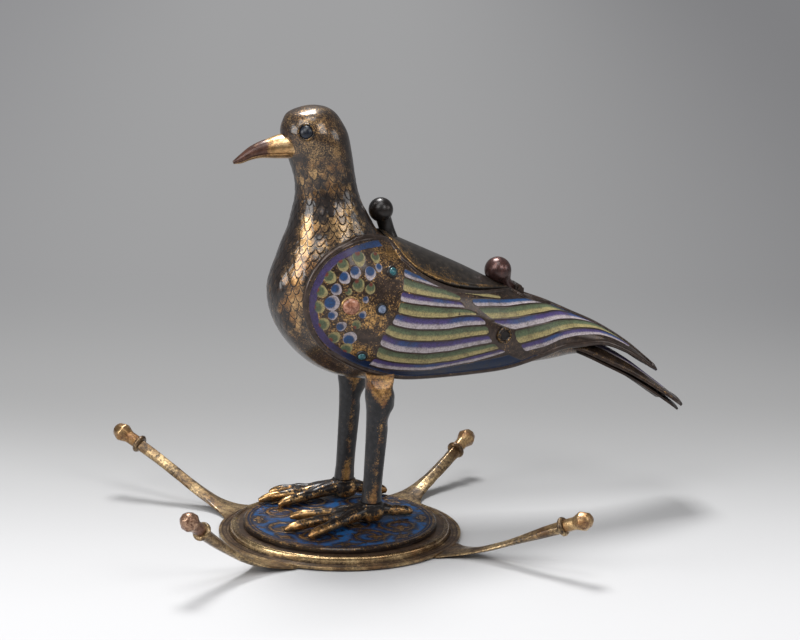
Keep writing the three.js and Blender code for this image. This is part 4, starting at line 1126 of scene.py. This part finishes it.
def beak():
    rows = spline(BEAK_CUTS, np.linspace(0, len(BEAK_CUTS) - 1, 90))
    angle = round_angles(72)
    top, low, half = rows[:, 0:2], rows[:, 2:4], rows[:, 4:5]
    share = (1 - np.cos(angle)) / 2
    x = mix(top[:, :1], low[:, :1], share)
    z = mix(top[:, 1:], low[:, 1:], share)
    y = BIRD_Y + half * np.sin(angle)
    place = np.stack([x, y, z], -1)
    middle = place.mean(1, keepdims=True)
    from_head = rows[:, :1]
    cere = 0.035 * smooth(-30.5, -28.6, from_head) * (1 - smooth(0.62, 0.8, share))
    slit = smooth(-24, -27, from_head) * np.exp(-((share - 0.7) / 0.022) ** 2) * 0.1
    collar = 0.05 * np.exp(-((from_head + 22.2) / 0.9) ** 2)
    place = middle + (place - middle) * (0.985 + cere - slit + collar)[..., None]
    gilt = 0.85 - 0.8 * smooth(-28, -33, x) * smooth(0.84, 0.66, share)
    gilt = gilt - 0.25 * np.exp(-((share - 0.7) / 0.05) ** 2) * smooth(-24, -27, x)
    piece("beak_cast", loft(place), BEAK_LOOK, ["beak"], crease=60,
          marks={"gilt": gilt.ravel()})


def eyes():
    for label, side in (("left", 1), ("right", -1)):
        at, outward = spot(BODY, EYE_STATION, side * EYE_TURN, 0)
        dome = [(0, -EYE_SEAT), (EYE_RADIUS * 0.98, -EYE_SEAT), (EYE_RADIUS, -0.6),
                *bulge(EYE_RADIUS, EYE_BULGE, 14)]
        piece(f"eye_ball_{label}", aimed(lathe(dome, 48), at, outward), EYE_LOOK, [f"eye_{label}"],
              crease=60)
        inner, outer = EYE_RADIUS + 0.05, EYE_RADIUS + FIT + BEZEL_WIDTH
        ring = [(inner, -EYE_SEAT), (outer, -EYE_SEAT), (outer + 0.1, 0), (outer - 0.35, 0.62),
                (inner, 0.5)]
        ring = eased(ring, 0.2, 3, closed=True)
        shape = aimed(lathe(np.vstack([ring, ring[:1]]), 48), at, outward)
        piece(f"eye_ring_{label}", shape, SETTING_LOOK, [f"eye_bezel_{label}"],
              crease=60)


# Wings

PURPLE = linear(78, 66, 116)
NAVY = linear(10, 42, 84)
BLUE = linear(42, 78, 126)
WHITE = linear(178, 167, 171)
GREEN = linear(92, 104, 78)
YELLOW = linear(166, 152, 104)
RED = linear(112, 54, 42)

# Where the borders of the nine upper feathers cross four lines on the wing: station, turn
UPPER_FEATHERS = [
    [(12.9, 49.5), (14.1, 47.5), (15.2, 46.1), (15.8, 48.5)],
    [(13.2, 57), (14.3, 53), (15.5, 50.5), (16.5, 52)],
    [(13.6, 67.3), (14.5, 63), (15.5, 59.5), (16.7, 57.5)],
    [(13.9, 74.7), (15, 68.7), (16.2, 65), (17.1, 63.3)],
    [(14.1, 83.2), (15.4, 77.8), (16.5, 73.5), (17.4, 67.5)],
    [(14.45, 91.7), (15.7, 87), (16.6, 84), (17.5, 76.5)],
    [(14.8, 100.2), (16, 96.6), (16.9, 94), (17.6, 86)],
    [(15.1, 110), (16.3, 108.3), (17, 105.5), (17.75, 94.5)],
    [(15.3, 120.5), (16.7, 120), (17.2, 117), (17.85, 103)],
    [(15.6, 129.6), (16.9, 129.3), (17.5, 121), (18.05, 107)],
]
UPPER_STARTS = [(12.85, 50), (13.43, 62), (13.72, 71.5), (14.04, 80), (14.2, 88), (14.28, 99),
                (14.52, 109), (14.79, 120), (14.87, 130)]
UPPER_ENDS = [(15.8, 48.5), (16.5, 53.5), (16.75, 61), (17.2, 66), (17.43, 72.5), (17.54, 81),
              (17.63, 91), (17.8, 100), (18.02, 107)]
LOWER_FEATHERS = [
    [(16.95, 54), (17.65, 44), (18.7, 21), (19.2, 8)],
    [(17.2, 60), (17.8, 52), (18.9, 29), (19.6, 14)],
    [(17.5, 70.5), (18.13, 62), (19.2, 43.5), (20.2, 23.5), (21.2, 6)],
    [(18.1, 78.3), (19.1, 64), (20.5, 41), (21.9, 12), (23, 4)],
    [(18.2, 98), (19.2, 85), (20.1, 70), (21.4, 48), (22.2, 33), (23.2, 18)],
    [(18.5, 110), (19.25, 102.5), (19.9, 90), (21.3, 70), (22.3, 55), (23.3, 42)],
]
LOWER_STARTS = [(16.9, 50), (17.05, 57), (17.42, 66), (17.6, 72), (18.05, 79), (18.15, 90),
                (18.45, 105), (18.6, 112)]
LOWER_ENDS = [(23.1, 0), (23, 40), (22.8, 120)]
# The thin yellow feather above the lower group
THIN_FEATHER = [[(16.5, 46), (17.25, 42.6), (17.75, 37.6)], [(16.5, 51.6), (17.3, 48), (17.75, 43.2)]]
THIN_START = [(16.62, 0), (16.62, 90)]
THIN_END = [(17.72, 0), (17.72, 90)]
FEATHER_COLOURS = [(BLUE, WHITE)] + [(GREEN, YELLOW), (PURPLE, WHITE)] * 4
FEATHER_GROUPS = [
    (UPPER_FEATHERS, UPPER_STARTS, UPPER_ENDS, FEATHER_COLOURS),
    (LOWER_FEATHERS, LOWER_STARTS, LOWER_ENDS, FEATHER_COLOURS[:5]),
    (THIN_FEATHER, THIN_START, THIN_END, [(YELLOW, YELLOW)]),
]
# How far across a feather its dark half reaches
SPLIT = 0.55
FEATHER_WALL = 0.42
WING_SINK = 0.14
# Small cells of the shoulder: station, turn, radius
GREEN_SCALES = [
    (11.08, 63, 2.1), (10.68, 79, 2.8), (10.73, 95, 2.4), (11.11, 108, 2.5), (11.59, 117, 2.4),
    (12.15, 123, 2.5), (12.84, 126, 2.6), (13.43, 126, 2.5), (13.96, 126, 2.5), (12.49, 82, 2.1),
    (12.01, 88, 2.5), (12.07, 97, 1.4), (13.45, 107, 1.8),
]
BLUE_SCALES = [
    (11.77, 66, 1.6), (11.75, 75, 2.5), (11.32, 86, 2.3), (11.37, 96, 2.3), (11.72, 105, 2.2),
    (12.2, 112, 3), (12.68, 116, 1.9), (13.21, 116, 2), (13.72, 118, 2.8), (12.81, 90, 1.3),
    (13.27, 99, 1.5),
]
SHOULDER_CENTRE = (13.1, 92)
# Gilding left on the wing's ground: station, turn, spread in stations, in degrees, amount
WING_SPOTS = [
    (13.2, 98, 0.8, 12, 0.2), (11.6, 44, 0.9, 12, 0.25), (14.4, 122, 0.4, 8, 0.4),
    (13.0, 76, 0.6, 8, -0.12), (14.0, 110, 0.3, 5, -0.3), (14.5, 40, 1.6, 6, 0.2),
    (17.86, 86, 0.25, 9, -0.3), (22, 6, 3, 6, 0.2),
]
CRESCENT_GAP = 3.0
CRESCENT_FROM_EDGE = [(9, 6.1), (14.4, 6.2), (15.8, 7.6), (17.5, 9.6), (18.1, 10), (18.55, 3.4)]


def curve_at(pairs, where, key=0):
    """Reads one column of (a, b) pairs at places given in the other."""
    table = sorted((row[key], row[1 - key]) for row in pairs)
    return np.interp(where, [a for a, _ in table], [b for _, b in table])


def feather_place(borders, station, turn):
    """Which feather a point lies on, counted down from the first border, with its fraction."""
    lines = np.array([curve_at(line, station) for line in borders])
    place = np.full(station.shape, -1.0)
    place[turn >= lines[-1]] = len(borders)
    for n in range(len(borders) - 1):
        width = np.maximum(lines[n + 1] - lines[n], 0.2)
        inside = (turn >= lines[n]) & (turn < lines[n + 1])
        place[inside] = n + ((turn - lines[n]) / width)[inside]
    spans = np.diff(lines, axis=0)
    which = np.clip(np.floor(place).astype(int), 0, len(borders) - 2)
    span = np.take_along_axis(spans, which[None], 0)[0]
    return place, np.maximum(span, 0.2)


def feather_cells(borders, starts, ends, colours, station, turn, metric):
    """Depth inside a feather in millimetres, and its enamel colour."""
    per_station, per_degree = metric
    place, span = feather_place(borders, station, turn)
    which = np.clip(np.floor(place).astype(int), 0, len(colours) - 1)
    share = place - which
    side_gap = np.minimum(share, 1 - share) * span * per_degree - FEATHER_WALL
    start_gap = (station - curve_at(starts, turn, 1)) * per_station - 0.5
    end_gap = (curve_at(ends, turn, 1) - station) * per_station - 0.2
    cell = round_min(side_gap, np.minimum(start_gap, end_gap), 1.2)
    cell[(place < 0) | (place >= len(colours))] = -1
    dark = np.array([pair[0] for pair in colours])[which]
    light = np.array([pair[1] for pair in colours])[which]
    drift = 0.5 + 0.5 * np.sin(station * 2.3 + which * 1.7)
    is_purple = (np.abs(dark - PURPLE).sum(-1) < 0.01)[..., None]
    dark = np.where(is_purple, mix(dark, BLUE, 0.75 * smooth(0.62, 1, drift)[..., None]), dark)
    waver = 0.045 * ripple(station * per_station, 2.6, which * 5)
    shaded = dark * (0.6 + 0.4 * smooth(0.05, 0.35, share))[..., None]
    return cell, mix(shaded, light, smooth(SPLIT - 0.13, SPLIT + 0.1, share + waver)[..., None])


def ripple(run, size, shift):
    """An uneven wave along a run in millimetres, between about -1 and 1."""
    turn = run * 2 * np.pi / size + shift
    return (np.sin(turn) + np.sin(turn * 1.73 + 1) + np.sin(turn * 0.57 + 2) + np.sin(turn * 2.61)) / 2.2


def round_min(a, b, radius):
    """The smaller of two depths, rounded where they meet."""
    inner = np.hypot(np.maximum(radius - a, 0), np.maximum(radius - b, 0))
    return np.where((a < radius) & (b < radius), radius - inner, np.minimum(a, b))


def wing_paint(station, turn, points, low_gap):
    """Cells, colours and gilding of a wing's enamel field."""
    step = 0.03
    metric = (
        np.linalg.norm(on_form(OUTER, station + step, turn) - on_form(OUTER, station - step, turn), axis=-1)
        / (2 * step),
        np.linalg.norm(on_form(OUTER, station, turn + 1) - on_form(OUTER, station, turn - 1), axis=-1) / 2,
    )
    cell, colour = feather_cells(*FEATHER_GROUPS[0], station, turn, metric)
    for group in FEATHER_GROUPS[1:]:
        cell, colour = laid_over(cell, colour, *feather_cells(*group, station, turn, metric))
    between = smooth(-1.4, -0.4, cell) * smooth(14, 15, station)
    cell, colour = laid_over(cell, colour, *crescent(station, turn, low_gap, metric[1]))
    scales = [(row, "green") for row in GREEN_SCALES] + [(row, "blue") for row in BLUE_SCALES]
    for n, (row, kind) in enumerate(scales):
        add_scale(*row, kind, n, points, cell, colour)
    gilt = 0.3 - 0.3 * between
    for at, at_turn, spread, wide, amount in WING_SPOTS:
        gilt += amount * np.exp(-(((station - at) / spread) ** 2 + ((turn - at_turn) / wide) ** 2))
    return cell, colour, gilt


def laid_over(cell, colour, found, found_colour):
    """Cells and colours with others laid over them where those are deeper."""
    return np.maximum(cell, found), np.where((found > cell)[..., None], found_colour, colour)


def crescent(station, turn, low_gap, per_degree):
    """Depth inside the dark band along the wing's lower edge, and its colour."""
    width = curve_at(CRESCENT_FROM_EDGE, station)
    border = np.minimum(low_gap - CRESCENT_GAP, width - low_gap)
    under = (turn - curve_at(UPPER_FEATHERS[-1], station)) * per_degree - 0.35
    border = np.where(station > 14.9, np.minimum(border, under), border)
    border = np.minimum(border, (station - 9.9) * 9)
    border = np.where(turn < 70, np.minimum(border, (turn - 47) * per_degree), border)
    colour = mix(PURPLE, NAVY, smooth(13.2, 14.6, station)[..., None])
    blue_share = (smooth(92, 70, turn) * smooth(12.5, 11, station))[..., None]
    return border, mix(colour, BLUE, blue_share * 0.8) * (0.66, 0.66, 0.62, 1)


def add_scale(station, turn, size, kind, n, points, cell, colour):
    """Draws one small cell, its root towards the shoulder's centre, into cells and colours."""
    radius = size * 1.06
    centre, _ = spot(OUTER, *SHOULDER_CENTRE, 0)
    at, outward = spot(OUTER, station, turn, 0)
    ahead = centre - at
    ahead = unit(ahead - outward * (ahead @ outward))
    aside = np.cross(outward, ahead)
    offset = points - at
    near = np.abs(offset).max(-1) < radius * 2
    along, across = offset[near] @ ahead, offset[near] @ aside
    angle = np.arctan2(across, along)
    reach = radius * (1 + 0.13 * np.exp(-((angle / 0.5) ** 2)) + 0.05 * np.sin(2 * angle + n)
                      + 0.04 * np.sin(3 * angle + 2 * n))
    depth = reach - np.hypot(along, across)
    core = radius * (0.78 if kind == "blue" else 0.82)
    core = smooth(-0.25, 0.25, core - np.hypot(along + radius * 0.28, across))[..., None]
    root = smooth(-0.2, 0.3, radius * 0.4 - np.hypot(along + radius * 0.75, across))[..., None]
    if kind == "blue":
        shade = mix(WHITE * 0.85, BLUE * 0.75, core)
    else:
        shade = mix(mix(YELLOW, GREEN, core) * 0.8, RED, root)
    cell[near], colour[near] = laid_over(cell[near], colour[near], depth, shade)


def wing(label, side):
    rows, cols = 440, 190
    rib = np.linspace(0, len(WING_RIBS) - 1, rows)
    upper = spline([row[:2] for row in WING_RIBS], rib)
    lower = spline([row[2:] for row in WING_RIBS], rib)
    if side < 0:
        front = smooth(9.4, 10.4, lower[:, 0]) * (1 - smooth(11.8, 13.5, lower[:, 0]))
        lower[:, 1] += RIGHT_WING_REACH * front
    share = np.linspace(0, 1, 241)
    line = upper[:, None] + (lower - upper)[:, None] * share[:, None]
    gap = outside_lid(on_form(OUTER, line[..., 0], side * line[..., 1])) - LID_SLIT
    first = np.zeros(rows)
    for i, row in enumerate(gap):
        if row[0] < 0:
            k = np.argmax(row >= 0) - 1
            first[i] = mix(share[k], share[k + 1], row[k] / (row[k] - row[k + 1]))
    share = first[:, None] + (1 - first[:, None]) * np.linspace(0, 1, cols)
    grid = upper[:, None] + (lower - upper)[:, None] * share[..., None]
    station, turn = grid[..., 0], grid[..., 1]
    face = on_form(OUTER, station, side * turn)
    outline = np.concatenate([face[0], face[1:, -1], face[-1, ::-1], face[::-1, 0]])
    edge = distance_to(thicken(outline), face)
    until = int(rows * 12.4 / (len(WING_RIBS) - 1))
    crest = int(rows * 1.7 / (len(WING_RIBS) - 1))
    low_line = np.concatenate([face[crest::-1, 0], face[0], face[:until, -1]])
    low_gap = distance_to(thicken(low_line), face)
    paint_points = on_form(OUTER, station, turn)
    cell, colour, gilt = wing_paint(station, turn, paint_points, low_gap)
    beside_lid = smooth(12.3, 13.2, station) * smooth(0.4, 0.25, np.linspace(0, 1, cols))
    rim_width = RIM_WIDTH - 1.2 * beside_lid
    cell = np.minimum(cell, edge - rim_width - 0.2)
    rim = np.sqrt(np.clip(1 - ((edge - rim_width / 2) / (rim_width / 2)) ** 2, 0, 1))
    bead = 0.3 * np.exp(-((edge - RIM_WIDTH - 0.35) / 0.28) ** 2) * (low_gap < 6)
    lift = RIM_RISE * rim + bead - WING_SINK * smooth(-0.05, 0.3, cell)
    gilt = gilt - 0.18 * smooth(0.3, -0.3, edge - rim_width)
    top = on_form(OUTER, station, side * turn, lift)
    bottom = on_form(OUTER, station, side * turn, -PLATE)
    shape = slab(top, bottom)
    marks = {"cell": followed_by(cell.ravel(), -1, cell.size), "enamel": colour.reshape(-1, 4),
             "gilt": gilt.ravel()}
    piece(f"wing_enamelled_{label}", shape, WING_LOOK, [f"wing_{label}"], marks=marks,
          crease=70)


def thicken(line, step=0.25):
    """The same line with points no further apart than `step`."""
    made = [line[:1]]
    for a, b in zip(line[:-1], line[1:]):
        count = max(int(np.linalg.norm(b - a) / step), 1)
        made.append(a + (b - a) * np.linspace(0, 1, count + 1)[1:, None])
    return np.vstack(made)


def stones():
    for label, side in (("left", 1), ("right", -1)):
        for name, (station, turn, radius, height, slot) in STONES.items():
            at, outward = spot(OUTER, station, side * turn, STONE_SEAT)
            inner = radius - (0.35 if name == "amber" else 0.5)
            dome = [(0, -STONE_SEAT), (inner, -STONE_SEAT), *bulge(inner, height, 12)]
            piece(f"cabochon_{name}_{label}", aimed(lathe(dome, 48), at, outward), STONE_LOOKS[slot],
                  [f"stone_{name}_{label}"], crease=60)
            ring = [(inner, -STONE_SEAT), (radius + 0.45, -STONE_SEAT), (radius + 0.3, 0.1),
                    (radius - 0.05, 0.35), (inner + 0.02, 0.3), (inner, -STONE_SEAT)]
            look = GILT_LOOK if name == "amber" else DARK_KNOB_LOOK
            piece(f"setting_{name}_{label}", aimed(lathe(ring, 48), at, outward), look,
                  crease=50)
        station, turn, radius = EMPTY_SETTING
        at, outward = spot(OUTER, station, side * turn, STONE_SEAT)
        ring = [(0, -STONE_SEAT), (radius + 1.35, -STONE_SEAT), (radius + 1.3, 0.3), (radius + 0.9, 0.8),
                (radius + 0.2, 0.85), (radius - 0.2, 0.2), (radius - 0.5, -0.15), (0, -0.15)]
        shape = lathe(eased(ring, 0.2, 3), 48)
        gilt = -0.5 * (np.hypot(shape[0][:, 0], shape[0][:, 1]) < radius - 0.1)
        piece(f"bare_setting_{label}", aimed(shape, at, outward), SETTING_LOOK, [f"empty_setting_{label}"],
              crease=60, marks={"gilt": gilt})


# Tail


def tail_sheet(rows, cols, depth, spread, shorter):
    """A sheet along the tail, `depth` under its face, with the share along it, across it and its
    half-width."""
    share = np.linspace(0, 1, rows)
    middle = spline(TAIL_CUTS, share * (len(TAIL_CUTS) - 1))
    along = unit(np.gradient(middle[:, :2], axis=0))
    s = np.linspace(-1, 1, cols)
    half = middle[:, 2] - shorter - 2.5 * smooth(0.9, 1, share) ** 2
    sink = middle[:, 3:4] * np.abs(s) ** 2.2 + depth + spread * share[:, None]
    x = middle[:, :1] + along[:, 1:] * sink
    z = middle[:, 1:2] - along[:, :1] * sink
    y = BIRD_Y + half[:, None] * s
    return np.stack([x, np.broadcast_to(y, x.shape), z], -1), share, s, half


TAIL_LENGTH = 62
TAIL_FEATHERS = 6
TAIL_BORDER = 4.4
TAIL_TIP = 8.4
RIVET_RADIUS = 1.6
RIVET_HEIGHT = 0.8
RIVET_X, RIVET_Z = 114, 78.7
RIVET_ASIDE = 4.2
TAIL_COLOURS = [(GREEN, YELLOW), (PURPLE, WHITE), (BLUE, WHITE)]


def tail():
    rows, cols = 190, 121
    face, share, s, half = tail_sheet(rows, cols, 0, 0, 0)
    across = s[None, :] * half[:, None]
    along = np.broadcast_to(share[:, None] * TAIL_LENGTH, across.shape)
    edge = np.minimum(half[:, None] - np.abs(across), TAIL_LENGTH - along)
    place = (s[None, :] + 1) / 2 * TAIL_FEATHERS
    place = np.broadcast_to(place, across.shape)
    which = np.clip(np.floor(place).astype(int), 0, TAIL_FEATHERS - 1)
    part = place - which
    feather = 2 * half[:, None] / TAIL_FEATHERS
    side_gap = np.minimum(part, 1 - part) * feather - 0.3
    tip_gap = TAIL_LENGTH - TAIL_TIP - along
    cell = round_min(side_gap, np.minimum(tip_gap, edge - TAIL_BORDER), 1.2)
    mirrored = np.minimum(which, TAIL_FEATHERS - 1 - which) % len(TAIL_COLOURS)
    dark = np.array([pair[0] for pair in TAIL_COLOURS])[mirrored]
    light = np.array([pair[1] for pair in TAIL_COLOURS])[mirrored]
    outward = np.where(which < TAIL_FEATHERS / 2, 1 - part, part)
    colour = mix(dark, light, smooth(0.5, 0.66, outward)[..., None])
    lift = 0.35 * np.sqrt(np.clip(1 - ((edge - 0.8) / 0.8) ** 2, 0, 1)) - 0.12 * smooth(0, 0.3, cell)
    raised, _, _, _ = tail_sheet(rows, cols, -1, 0, 0)
    top = face + (raised - face) * (lift - 0.3)[..., None]
    bottom, _, _, _ = tail_sheet(rows, cols, TAIL_PLATE, 0, 0)
    keep = slice(int(rows * 0.02), None)
    top, bottom, cell, colour = top[keep], bottom[keep], cell[keep], colour[keep]
    marks = {
        "cell": followed_by(cell.ravel(), -1, cell.size),
        "enamel": colour.reshape(-1, 4),
        "gilt": 0.25 * np.ones(cell.size),
    }
    piece("tail_enamelled", slab(top, bottom), WING_LOOK, ["tail_plate"], marks=marks,
          crease=60)
    low = TAIL_PLATE + FIT
    upper, _, _, _ = tail_sheet(60, 41, low, TAIL_SPREAD, 0.8)
    under, _, _, _ = tail_sheet(60, 41, low + TAIL_BACKING, TAIL_SPREAD, 0.8)
    keep = slice(5, None)
    piece("tail_back_plate", slab(upper[keep], under[keep]), COPPER_LOOK, ["tail_backing"],
          crease=50)
    for label, side in (("left", -1), ("right", 1)):
        head = [(0, -0.3), (RIVET_RADIUS, -0.3), *bulge(RIVET_RADIUS, RIVET_HEIGHT, 8)]
        at = (RIVET_X, BIRD_Y + side * RIVET_ASIDE, RIVET_Z)
        piece(f"rivet_head_{label}", aimed(lathe(head, 24), at, (0.36, -side * 0.1, 0.93)), GILT_LOOK,
              [f"tail_rivet_{label}"], crease=60)


# Lid


def lid():
    ends = np.array([LID_EDGE[:, 0].min(), LID_EDGE[:, 0].max()])
    fine = np.linspace(9, 19, 2001)
    back_x = spline(OUTER, fine)[:, 0]
    first, last = np.interp(ends, back_x, fine)
    stations = mix(first, last, (1 - np.cos(np.linspace(0, np.pi, 150))) / 2)
    stations[0] += 1e-4
    stations[-1] -= 1e-4
    reach = edge_turn(OUTER, stations, 0, lambda s, t: 0 * s)
    reach = np.maximum(reach, 0.02)
    s = np.linspace(-1, 1, 101)
    turn = reach[:, None] * s
    station = np.broadcast_to(stations[:, None], turn.shape)
    face = on_form(OUTER, station, turn)
    inside = -outside_lid(face)
    lip = 0.45 * np.sqrt(np.clip(1 - ((inside - 0.8) / 0.8) ** 2, 0, 1))
    top = on_form(OUTER, station, turn, lip - 0.35)
    bottom = on_form(OUTER, station, turn, -PLATE)
    gilt = 0.05 + 0.3 * smooth(1.9, 1.2, inside) * smooth(0.1, 0.5, inside)
    gilt = gilt + 0.35 * smooth(60, 30, face[..., 0]) * smooth(9, 1, inside)
    marks = {"gilt": gilt.ravel()}
    piece("lid_sheet", slab(top, bottom), LID_LOOK, ["back_lid"], body="lid",
          marks=marks, crease=60)
    half = LID_KNUCKLE / 2
    barrel = [(0, -half), (HINGE_BARREL, -half), (HINGE_BARREL, half), (0, half)]
    shape = aimed(lathe(eased(barrel, 0.2, 3), 32), (HINGE_X, BIRD_Y, HINGE_Z), (0, 1, 0))
    piece("lid_knuckle", shape, LID_LOOK, body="lid")


# How far a knob's flat end lies under the plane that touches the bird's back at its root
LID_KNOB_DEPTH = 0.8


def lid_knob(name, node, root, centre, radius, stem, waist, look):
    """A ball on a foot that runs from `stem` at its root to `waist` at the ball."""
    root, centre = np.array(root, float), np.array(centre, float)
    length = np.linalg.norm(centre - root)
    start = math.asin(min(waist / radius, 1))
    profile = [(0, -1.5), (stem * 1.15, -1.5), (stem, 0.3)]
    for angle in np.linspace(math.pi - start, 0, 20)[:-1]:
        profile.append((radius * math.sin(angle), length + radius * math.cos(angle)))
    profile.append((0, length + radius))
    points, faces = aimed(lathe(profile, 64), root, centre - root)
    way = unit(centre - root)
    gap = outside_surface(points, root)
    low = (points - root) @ way < 0.1
    slant = outside_surface(root + way, root) - outside_surface(root, root)
    points = points + np.where(low, (-LID_KNOB_DEPTH - gap) / slant, 0)[:, None] * way
    piece(name, (points, faces), look, [node], body="lid", crease=60)


def outside_surface(points, root):
    """Height over the plane that touches the bird's back at a place on its middle line."""
    stations = np.linspace(9, 19, 1001)
    station = stations[np.argmin(np.abs(spline(OUTER, stations)[:, 0] - root[0]))]
    at, outward = spot(OUTER, station, 0.0, 0)
    return (points - at) @ outward


# Studio


FLOOR_SIZE = 6.0
# Level way to the back of the studio
BACKWARD = (0.322, 0.947)
WORLD_STRENGTH = 0.42


def floor():
    size = FLOOR_SIZE
    mesh = bpy.data.meshes.new("floor")
    mesh.from_pydata([(-size, -size, 0), (size, -size, 0), (size, size, 0), (-size, size, 0)], [],
                     [(0, 1, 2, 3)])
    made = bpy.data.objects.new("floor", mesh)
    bpy.context.scene.collection.objects.link(made)
    look = Look("floor")
    split = look.node("ShaderNodeSeparateXYZ", {0: look.place}).outputs
    behind = look.math("MULTIPLY_ADD", split[0], BACKWARD[0], look.times(split[1], BACKWARD[1]))
    aside = look.math("MULTIPLY_ADD", split[0], BACKWARD[1], look.times(split[1], -BACKWARD[0]))
    # The floor's colour is painted light at the front and darker towards the back: painted falloff of the
    # lamps' light across the floor.
    front, middle = linear(197, 197, 198), linear(139, 139, 139)
    look.use(Base_Color=look.blend(look.step(behind, -0.14, 0.24), front, middle), Roughness=0.9)
    look.use(Specular_IOR_Level=0.0)
    # The backdrop glows, plain in the middle, darker to the right and a little darker to the left: painted
    # studio light and shade on the backdrop.
    plain, right, left = linear(160, 160, 161), linear(128, 128, 130), linear(146, 146, 148)
    painted_backdrop_light = look.blend(look.step(aside, 0.02, 0.45), plain, right)
    painted_backdrop_light = look.blend(look.step(aside, -0.1, -0.4), painted_backdrop_light, left)
    painted_backdrop_glow = look.node("ShaderNodeEmission", {0: painted_backdrop_light, 1: 1.0}).outputs[0]
    share = look.step(behind, 0.1, 0.5)
    far = look.node("ShaderNodeMixShader", {0: share, 1: look.shader.outputs[0], 2: painted_backdrop_glow}).outputs[0]
    look.tree.links.new(far, look.tree.nodes["Material Output"].inputs[0])
    mesh.materials.append(look.material)


LAMPS = {
    # name: place, size, watts
    "key": ((-0.8, -0.6, 1.0), 0.7, 7.5),
    "above": ((-0.1, -0.3, 1.15), 0.5, 3.5),
    "top": ((0.05, 0.42, 0.95), 0.3, 10.0),
    "left": ((-1.15, -0.12, 0.42), 0.5, 5.5),
    "front": ((0.42, -1.0, 0.85), 0.5, 4.5),
    "right": ((1.1, -0.55, 0.5), 0.45, 2.0),
}
AIM = Vector((0.02, 0.01, 0.09))


def studio():
    for name, (place, size, power) in LAMPS.items():
        data = bpy.data.lights.new(name, "AREA")
        data.shape = "SQUARE"
        data.size = size
        data.energy = power
        made = bpy.data.objects.new(name, data)
        made.location = place
        made.rotation_mode = "QUATERNION"
        made.rotation_quaternion = (AIM - Vector(place)).to_track_quat("-Z", "Y")
        bpy.context.scene.collection.objects.link(made)
    world = bpy.data.worlds.new("studio")
    world.use_nodes = True
    world.node_tree.nodes["Background"].inputs[0].default_value = linear(168, 168, 170)
    world.node_tree.nodes["Background"].inputs[1].default_value = WORLD_STRENGTH
    bpy.context.scene.world = world
    bpy.context.scene.view_settings.view_transform = "Standard"


# Assembly

camera()
studio()
floor()
dish()
disk()
for arm_name, numbers in ARMS.items():
    root_way, tip_way, knob_at, collar_at, bar_end, middle = arm_frame(*numbers)
    arm(arm_name, root_way, tip_way, bar_end, middle)
    arm_ends(arm_name, tip_way, knob_at, collar_at)
for leg_side in LEG_Y:
    foot(leg_side)
    leg(leg_side)
body()
beak()
eyes()
wing("left", 1)
wing("right", -1)
stones()
tail()
lid()
lid_knob("knob_on_lid_front", "lid_front_knob", (23.6, BIRD_Y, 129.6), (20.5, BIRD_Y, 139), 5.3, 3.2, 3.3,
         DARK_KNOB_LOOK)
lid_knob("knob_on_lid_rear", "lid_rear_knob", (78.6, BIRD_Y, 103.8), (75, BIRD_Y, 109.4), 5.9, 2.8, 4.9,
         RED_KNOB_LOOK)
for kept, look in (("host_cup", GILT_LOOK), ("hinge_leaf", COPPER_LOOK), ("hinge_pin", COPPER_LOOK)):
    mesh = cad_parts[kept].data
    mesh.materials.clear()
    mesh.materials.append(look)
